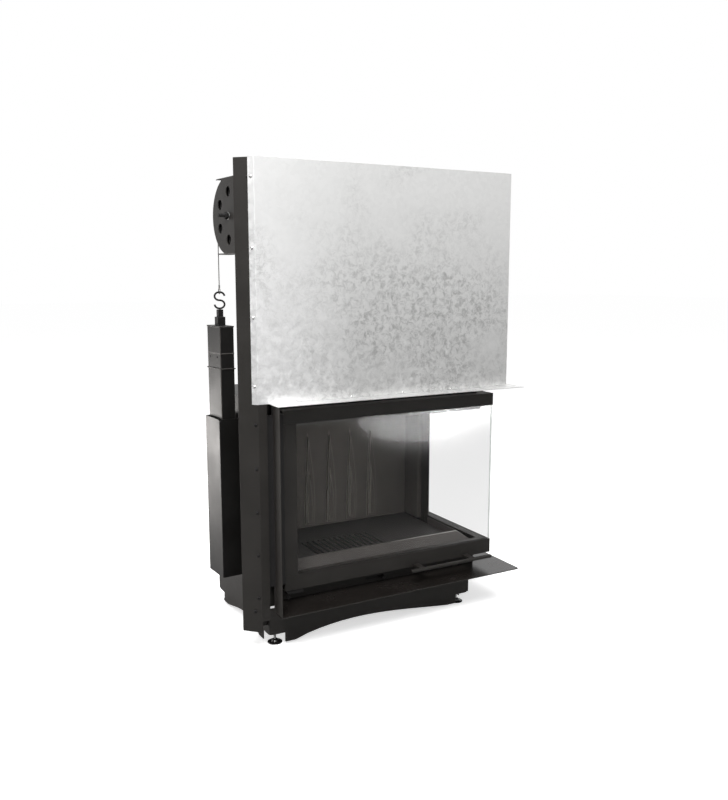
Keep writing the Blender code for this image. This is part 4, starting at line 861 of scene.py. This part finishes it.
class INSERT_OT_air_wash(bpy.types.Operator):
    """Hangs the sheet that leads air down the front pane, with its ends cut off at an angle"""

    bl_idname = "insert.air_wash"
    bl_label = "Air wash sheet"

    def execute(self, context):
        left, right = 0.100, 0.822
        low, high = 0.6514, 0.6920
        near, far = 0.0705, 0.0725
        cut, tall_cut = 0.010, 0.018
        outline = (
            (left + cut, low), (right, low), (right, low + tall_cut), (right - cut, high),
            (left + cut, high), (left, high - cut), (left, low + cut),
        )
        rings = [[at(x, y, z) for x, z in outline] for y in (near, far)]
        put("air_wash_sheet", "rim", "frame", [loft(rings)])
        return {"FINISHED"}


class INSERT_OT_door(bpy.types.Operator):
    """Finishes the door's handle and hinge bracket, its glass and the ground edges at the corner"""

    bl_idname = "insert.door"
    bl_label = "Door"

    def execute(self, context):
        sizes = context.scene.insert_sizes
        dressed("door_handle", "paint", sizes.block_edge)
        dressed("hinge_bracket", "deep_paint", sizes.block_edge)
        for node in ("front_glass", "side_glass"):
            materials = frame["nodes"][node].data.materials
            materials.clear()
            materials.append(finish("glass"))
        self.make_ground_edges()
        self.make_gasket()
        return {"FINISHED"}

    def make_ground_edges(self):
        """The panes' ground edges, where they meet bare at the corner."""
        front_low, front_high = corners("front_glass")
        side_low, side_high = corners("side_glass")
        skin = 0.0004
        inset = 0.0006
        bars = (
            ((front_high.x + skin / 4, front_low.y + inset), (front_high.x + skin, front_high.y - inset)),
            ((side_low.x + inset, side_low.y - skin), (side_high.x - inset, side_low.y - skin / 4)),
        )
        levels = (front_low.z + inset, front_high.z - inset)
        solids = []
        for (x0, y0), (x1, y1) in bars:
            ring = ((x0, y0), (x1, y0), (x1, y1), (x0, y1))
            solids.append(loft([[(x, y, z) for x, y in ring] for z in levels]))
        put("corner_glass_edges", "glass_edge", "door", solids)

    def make_gasket(self):
        """Woven glass cord between the front pane and its frame, seen as a dark line."""
        low, high = corners("front_glass")
        radius = 0.0012
        bite = 0.008 + radius
        stop = high.x - 0.012
        step, lay = 0.012, 0.01
        y = high.y + radius + 0.0002
        points = [
            Vector((x, y, z)) for x, z in (
                (stop, low.z + bite), (low.x + bite, low.z + bite), (low.x + bite, high.z - bite),
                (stop, high.z - bite),
            )
        ]
        solids = []
        for start, end in zip(points, points[1:]):
            count = max(8, round((end - start).length / step))
            run = [start.lerp(end, i / count) for i in range(count + 1)]
            solids.append(swept(run, stranded_section(radius, 4, 16), twist=2 * pi / lay))
        put("front_pane_gasket", "deep_paint", "door", solids)


class INSERT_OT_flue(bpy.types.Operator):
    """Finishes the flue collar and the air spigot, and sets their rivets and screws"""

    bl_idname = "insert.flue"
    bl_label = "Flue collar and air spigot"

    def execute(self, context):
        sizes = context.scene.insert_sizes
        dressed("flue_collar", "paint", sizes.sheet_edge)
        dressed("air_inlet", "zinc", sizes.sheet_edge)
        low, high = corners("flue_collar")
        middle = (low + high) / 2
        collar_radius, rivet_rise = 0.100, 0.010
        rivets = []
        for i in range(6):
            angle = pi / 3 * (i + 0.5)
            out = Vector((cos(angle), sin(angle), 0.0))
            spot = middle + out * collar_radius
            spot.z = low.z + rivet_rise
            rivets.append(blind_rivet(sizes.rivet_radius, facing(spot, out)))
        put("flue_collar_rivets", "paint", "frame", rivets)
        low, high = corners("air_inlet")
        middle = (low + high) / 2
        bolt_circle, flange, screw_radius = 0.0685, 0.0022, 0.0036
        screws = []
        for i in range(4):
            angle = pi / 4 + pi / 2 * i
            spot = (middle.x + bolt_circle * cos(angle), low.y + flange, middle.z + bolt_circle * sin(angle))
            screws.append(socket_screw(screw_radius, facing(spot, (0, 1, 0))))
        put("air_spigot_screws", "zinc", "frame", screws)
        return {"FINISHED"}


class INSERT_OT_fasteners(bpy.types.Operator):
    """Sets the casing's screws and rivets"""

    bl_idname = "insert.fasteners"
    bl_label = "Screws and rivets"

    def execute(self, context):
        sizes = context.scene.insert_sizes
        screw = sizes.screw_radius
        stand = 0.0008
        lip_level = 0.7405
        shift = COLUMN_SET / sqrt(2)
        strip = [at(-0.0071, 0.0071, z) for z in (1.3584, 1.1683, 0.9789, 0.7879)]
        nubs = [
            at(-0.0148, 0.0148 + 0.0004, z) + COLUMN_OUT * stand
            for z in (1.3212, 1.3590, 1.1690, 0.9795, 0.7885)
        ]
        lower = [(0.0050, 0.0075, z) for z in (0.6795, 0.5521, 0.4247, 0.2977, 0.1698)]
        lower.append((0.0138, 0.0163, 0.1287))
        face = [self.on_column(at(-x - shift, y - shift, z)) for x, y, z in lower]
        self.set_pair("strip_screws", "chrome", strip, partial(socket_screw, screw), (20.0, 35.0))
        self.set_pair("column_rivets", "paint", nubs, partial(blind_rivet, sizes.rivet_radius * 0.8))
        rows = (
            ("front", [at(x, 0.0, lip_level) for x in (0.1179, 0.2955, 0.4742, 0.6522, 0.8332)], (0, -1, 0)),
            ("side", [at(CASING_WIDTH, y, lip_level) for y in (0.055, 0.200, 0.345, 0.480)], (1, 0, 0)),
        )
        for name, spots, normal in rows:
            put("cover_screws_" + name, "chrome", "frame", [
                socket_screw(screw * 0.62, facing(spot, normal)) for spot in spots
            ])
        self.set_pair("column_screws", "deep_paint", face, partial(socket_screw, screw * 1.15))
        return {"FINISHED"}

    def set_pair(self, name, key, spots, make, spins=(0.0, 0.0)):
        """Sets a row of heads on the left column, and the same row across the glass corner."""
        sides = (("left", Matrix.Identity(4), COLUMN_OUT), ("rear", across, -COLUMN_OUT))
        for (side, move, normal), spin in zip(sides, spins):
            heads = [make(facing(move @ spot, normal, spin)) for spot in spots]
            put(f"{name}_{side}", key, "frame", heads)

    def on_column(self, spot):
        """The spot moved on to the column's face at 45 degrees."""
        local = spot - fold
        miss = (local.x + local.y - COLUMN_SET * (1 + tan(pi / 8))) / 2
        return spot - Vector((miss, miss, 0.0))


class INSERT_OT_feet(bpy.types.Operator):
    """Turns the levelling feet with their threaded studs and locknuts"""

    bl_idname = "insert.feet"
    bl_label = "Levelling feet"

    def execute(self, context):
        disc = (
            (0.0, 0.0), (0.0218, 0.0), (0.0224, 0.0005), (0.0225, 0.0015), (0.0222, 0.0026),
            (0.0213, 0.0031), (0.0150, 0.0038), (0.0122, 0.0046), (0.0108, 0.0066), (0.0092, 0.0092),
            (0.0076, 0.0110), (0.0062, 0.0118), (0.0, 0.0120),
        )
        plate_low, plate_thick = 0.0365, 0.006
        nut_low = plate_low + plate_thick + GAP
        for corner in ("front_left", "front_right", "rear_left", "rear_right"):
            node = "foot_" + corner
            low, high = corners(node)
            place = Matrix.Translation(((low.x + high.x) / 2, (low.y + high.y) / 2, 0.0))
            put("levelling_disc_" + corner, "foot", home[node], [turned(disc, 64, place)])
            solids = [
                threaded(0.0040, 0.00125, 0.0115, 0.0615, place),
                hexagonal(0.0145, 0.0068, place @ Matrix.Translation((0, 0, nut_low)), 0.0038),
            ]
            put("levelling_" + node, "chrome", home[node], solids, [node])
        return {"FINISHED"}


class INSERT_OT_lift(bpy.types.Operator):
    """Builds the lift on both sides: pulley, bracket, bolt, rope, hook and weight"""

    bl_idname = "insert.lift"
    bl_label = "Lift"

    def execute(self, context):
        sizes = context.scene.insert_sizes
        for side in ("left", "rear"):
            place = lift_frame(side)
            self.make_pulley(side, place)
            self.make_bracket(side, place)
            self.make_bolt(side, place)
            self.make_hook(side, place)
            self.make_rope(sizes, side, place)
            # Painted shade: the weight's paint is darker than the stove paint. Painted highlight: its edges
            # get grey.
            dressed(side + "_weight", "weight", sizes.block_edge * 0.6, "weight_edge")
            self.make_weight_rivets(side, place)
            self.make_stem(side, place)
        return {"FINISHED"}

    def make_pulley(self, side, place):
        """The turned pulley: a grooved rim and a hub on a holed web."""
        node = side + "_pulley"
        rim = [
            (0.0875, -0.0065), (0.0880, -0.0070), (0.1038, -0.0070), (0.1045, -0.0063), (0.1045, -0.0030),
            (0.1040, -0.0023), (0.1018, -0.0017), (0.1013, -0.0008), (0.1012, 0.0), (0.1013, 0.0008),
            (0.1018, 0.0017), (0.1040, 0.0023), (0.1045, 0.0030), (0.1045, 0.0063), (0.1038, 0.0070),
            (0.0880, 0.0070), (0.0875, 0.0065), (0.0875, 0.0030), (0.0869, 0.0), (0.0875, -0.0030),
        ]
        hub = [
            (0.0065, 0.0076), (0.0070, 0.0082), (0.0154, 0.0082), (0.0160, 0.0076), (0.0160, -0.0076),
            (0.0154, -0.0082), (0.0070, -0.0082), (0.0065, -0.0076),
        ]
        half_web = 0.003
        loops = [circle(0.0874, TURNED_STEPS), circle(0.0155, 48), *self.holes()]
        solids = [
            turned(rim, TURNED_STEPS, place @ along_axle, wrap=True),
            turned(hub, 48, place @ along_axle, wrap=True),
            plate(loops, -half_web, half_web, 0.0004, place @ in_lift),
        ]
        put(node + "_turned", "weight", home[node], solids, [node], sharp=12.0)

    def holes(self):
        """Six round holes about the axle."""
        reach, radius = 0.067, 0.0145
        return [
            [(reach * cos(angle) + x, reach * sin(angle) + y) for x, y in circle(radius, HOLE_STEPS)]
            for angle in (pi / 6 * (2 * i + 1) for i in range(6))
        ]

    def make_bracket(self, side, place):
        """The bracket's folded sheet, with smooth holes and a round edge."""
        node = side + "_bracket"
        sheet, half, inside = 0.003, 0.108, 0.0006  # thickness, half height, inner radius of the bends
        reach = 0.0815
        flange = BRACKET_OUTER + 0.0345
        flat = half - sheet - inside
        lap = flat + 0.0004
        round_edge = 0.110
        toe = radians(4.0)
        foot_out = BRACKET_OUTER - 0.020
        column_face = COLUMN_SET + 0.0652 / sqrt(2)
        front = (AXLE_BACK + foot_out * sin(toe) - column_face - GAP) / cos(toe)
        turn = asin(flat / round_edge)
        steps = 64
        outline = [(-front, -lap), (round_edge * cos(turn), -lap)]
        outline += [
            (round_edge * cos(turn * a), round_edge * sin(turn * a))
            for a in (2 * i / steps - 1 for i in range(steps + 1))
        ]
        outline += [(round_edge * cos(turn), lap), (-front, lap)]
        loops = [outline, *self.holes(), circle(0.0064, 32)]
        solids = [plate(loops, BRACKET_OUTER, BRACKET_OUTER + sheet, 0.0003, place @ in_lift)]
        bend = inside + sheet
        centre = BRACKET_OUTER + bend
        bends = [pi / 2 * i / 8 for i in range(9)]
        ring = [
            *[(centre - bend * cos(a), flat + bend * sin(a)) for a in bends],
            (flange, half), (flange, half - sheet),
            *[(centre - inside * cos(a), flat + inside * sin(a)) for a in reversed(bends)],
        ]
        for sign in (-1, 1):
            solids.append(loft([[(x, y, z * sign) for x, z in ring] for y in (-front, reach)], place))
        foot_half, foot_in = flat - sheet, BRACKET_OUTER + sheet / 2
        foot = ((foot_out, -foot_half), (foot_in, -foot_half), (foot_in, foot_half), (foot_out, foot_half))
        solids.append(loft([[(x, y, z) for x, z in foot] for y in (-front, sheet - front)], place))
        ahead = place.to_3x3() @ Vector((0, 1, 0))
        for z in (-0.080, 0.080):
            spot = place @ Vector((BRACKET_OUTER - 0.0105, sheet - front, z))
            solids.append(socket_screw(0.005, facing(spot, ahead)))
        put(node + "_folded", "paint", home[node], solids, [node], sharp=12.0)

    def make_bolt(self, side, place):
        """The pulley's bolt: hexagon head inside, washer, nut and thread outside."""
        node = side + "_axle"
        along = place @ along_axle
        outer = BRACKET_OUTER - GAP
        shank = 0.0059
        solids = [
            hexagonal(0.0170, 0.0058, along @ Matrix.Translation((0, 0, 0.0086))),
            turned([(0.0, -0.012), (shank, -0.012), (shank, 0.0085), (0.0, 0.0085)], 32, along),
            threaded(shank, 0.00175, -0.0415, outer, along, 28),
            hexagonal(0.0182, 0.0095, along @ Matrix.Translation((0, 0, outer - 0.0110)), 0.0058),
        ]
        put(node + "_bolt", "deep_paint", home[node], solids, [node])
        washer = [
            (0.0062, outer - 0.0014), (0.0100, outer - 0.0014), (0.0104, outer - 0.0010),
            (0.0104, outer - 0.0001), (0.0062, outer - 0.0001),
        ]
        put(node + "_washer", "zinc", home[node], [turned(washer, 48, along, wrap=True)])

    def make_hook(self, side, place):
        """The S-shaped hook, bent from round wire."""
        node = side + "_hook"
        lower = STEM_TOP + GAP + HOOK_WIRE + HOOK_BOW - AXLE_HEIGHT
        gap_angle = radians(2.0)
        steps = 44
        bows = (
            (lower + 2 * HOOK_BOW, gap_angle, 3 * pi / 2 - gap_angle, range(steps + 1)),
            (lower, pi / 2, gap_angle - 3 * pi / 2, range(1, steps + 1)),
        )
        points = []
        for level, start, turn, counts in bows:
            for angle in (start + turn * i / steps for i in counts):
                points.append((HOOK_WIDE * cos(angle), LIFT_RADIUS, level + HOOK_BOW * sin(angle)))
        put(node + "_wire", "deep_paint", home[node], [swept(points, circle(HOOK_WIRE, 20), place)], [node])

    def make_rope(self, sizes, side, place):
        """The stranded rope: over the pulley, down to its eye in the hook, and down to the door."""
        lay = partial(
            swept, section=stranded_section(ROPE_RADIUS), place=place, twist=2 * pi / sizes.rope_lay,
        )
        steps = 72
        over = [
            (0.0, LIFT_RADIUS * cos(pi * i / steps), LIFT_RADIUS * sin(pi * i / steps))
            for i in range(steps + 1)
        ]
        node = side + "_rope_wrap"
        put(node + "_laid", "wire", home[node], [lay(over)], [node])
        throat = HOOK_TOP + sizes.eye_height * 0.55 - AXLE_HEIGHT
        node = side + "_rope_weight_run"
        down = self.straight(LIFT_RADIUS, -GAP, throat)
        weight_run = put(node + "_laid", "wire", home[node], [lay(down)], [node])
        self.free(weight_run)
        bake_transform(weight_run)
        node = side + "_rope_door_run"
        low, high = corners(node)
        up = self.straight(-LIFT_RADIUS, high.z - AXLE_HEIGHT, low.z - AXLE_HEIGHT)
        door_run = put(node + "_laid", "wire", "frame", [lay(up)], [node])
        anchor = place @ Vector((0.0, -LIFT_RADIUS, 0.0))
        anchor.z = high.z
        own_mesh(door_run)
        self.make_eye(side, place, throat, lay)

    def free(self, piece):
        """Takes a piece off the body that it was put on, in its place."""
        world = piece.matrix_world.copy()
        piece.parent = None
        piece.matrix_world = world
        if "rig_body" in piece:
            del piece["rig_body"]

    def straight(self, y, top, bottom):
        """Points down one straight run."""
        count = max(12, round((top - bottom) / 0.0022))
        return [(0.0, y, top + (bottom - top) * i / count) for i in range(count + 1)]

    def make_eye(self, side, place, throat, lay):
        """The rope's eye round the hook's upper bow, closed by a pressed sleeve."""
        bottom = HOOK_TOP - 2 * HOOK_WIRE - ROPE_RADIUS - 0.0004 - AXLE_HEIGHT
        half = 0.0062 * 1.25
        steps = 36
        points = []
        for i in range(steps + 1):
            angle = 2 * pi * i / steps
            rise = (1 - cos(angle)) / 2
            z = throat - (throat - bottom) * rise
            points.append((0.0, LIFT_RADIUS + half * sin(angle) * rise ** 0.6, z))
        weight = side + "_counterweight"
        put(side + "_rope_eye", "wire", weight, [lay(points)])
        waist, lip, tall, taper = 0.0026, 0.0021, 0.0055, 0.0048
        outline = ((0.0, -tall), (lip, -tall), (waist, -taper), (waist, taper), (lip, tall), (0.0, tall))
        sleeve = [(radius, throat + rise) for radius, rise in outline]
        level = place @ Matrix.Translation((0.0, LIFT_RADIUS, 0.0))
        put(side + "_rope_sleeve", "zinc", weight, [turned(sleeve, 24, level)])

    def make_stem(self, side, place):
        """The square stepped stem that the hook holds the weight by."""
        edge = 0.0008
        weight_top = STEM_TOP - 0.0475
        steps = ((0.0079, STEM_TOP - 0.022, STEM_TOP), (0.0122, weight_top, STEM_TOP - 0.0215))
        solids = []
        for half, low, high in steps:
            rings = []
            for shrink, z in ((edge, low), (0.0, low + edge), (0.0, high - edge), (edge, high)):
                h = half - shrink
                c = half - edge - shrink
                ring = ((h, -c), (h, c), (c, h), (-c, h), (-h, c), (-h, -c), (-c, -h), (c, -h))
                rings.append([(x, LIFT_RADIUS + y, z - AXLE_HEIGHT) for x, y in ring])
            solids.append(loft(rings, place))
        put(side + "_weight_stem", "weight", side + "_counterweight", solids)

    def make_weight_rivets(self, side, place):
        """Two flush rivets that hold the weight's plates."""
        outer = -0.045 / 2 - 0.0001
        level, apart = 0.853, 0.026
        normal = place.to_3x3() @ Vector((-1, 0, 0))
        rivets = []
        for y in (LIFT_RADIUS + apart, LIFT_RADIUS - apart):
            spot = place @ Vector((outer, y, level - AXLE_HEIGHT))
            rivets.append(blind_rivet(0.0030, facing(spot, normal)))
        put(side + "_weight_rivets", "deep_paint", side + "_counterweight", rivets)


class INSERT_OT_air_control(bpy.types.Operator):
    """Finishes the air slider"""

    bl_idname = "insert.air_control"
    bl_label = "Air control"

    def execute(self, context):
        dressed("air_slider", "deep_paint", context.scene.insert_sizes.sheet_edge)
        return {"FINISHED"}


class INSERT_PT_panel(bpy.types.Panel):
    """The insert's finishes, sizes and steps"""

    bl_label = "Fireplace insert"
    bl_space_type = "VIEW_3D"
    bl_region_type = "UI"
    bl_category = "Insert"

    def draw(self, context):
        layout = self.layout
        for operator in OPERATORS:
            layout.operator(operator.bl_idname)
        scene = context.scene
        for group in (scene.insert_colours, scene.insert_sizes, scene.insert_stage):
            box = layout.box()
            for key in group.__annotations__:
                box.prop(group, key)


OPERATORS = (
    INSERT_OT_stage, INSERT_OT_sheets, INSERT_OT_fire_chamber, INSERT_OT_air_wash, INSERT_OT_door,
    INSERT_OT_flue, INSERT_OT_fasteners, INSERT_OT_feet, INSERT_OT_lift, INSERT_OT_air_control,
)
GROUPS = (InsertColours, InsertSizes, InsertStage)


def register():
    """Adds the groups, the operators and the panel."""
    for item in (*GROUPS, *OPERATORS, INSERT_PT_panel):
        bpy.utils.register_class(item)
    bpy.types.Scene.insert_colours = bpy.props.PointerProperty(type=InsertColours)
    bpy.types.Scene.insert_sizes = bpy.props.PointerProperty(type=InsertSizes)
    bpy.types.Scene.insert_stage = bpy.props.PointerProperty(type=InsertStage)


def unregister():
    """Takes them away again."""
    del bpy.types.Scene.insert_stage
    del bpy.types.Scene.insert_sizes
    del bpy.types.Scene.insert_colours
    for item in reversed((*GROUPS, *OPERATORS, INSERT_PT_panel)):
        bpy.utils.unregister_class(item)


def main():
    """Runs each step."""
    register()
    bpy.ops.insert.stage()
    bpy.ops.insert.sheets()
    bpy.ops.insert.fire_chamber()
    bpy.ops.insert.air_wash()
    bpy.ops.insert.door()
    bpy.ops.insert.flue()
    bpy.ops.insert.fasteners()
    bpy.ops.insert.feet()
    bpy.ops.insert.lift()
    bpy.ops.insert.air_control()
    bpy.context.view_layer.update()


if __name__ == "__main__":
    main()
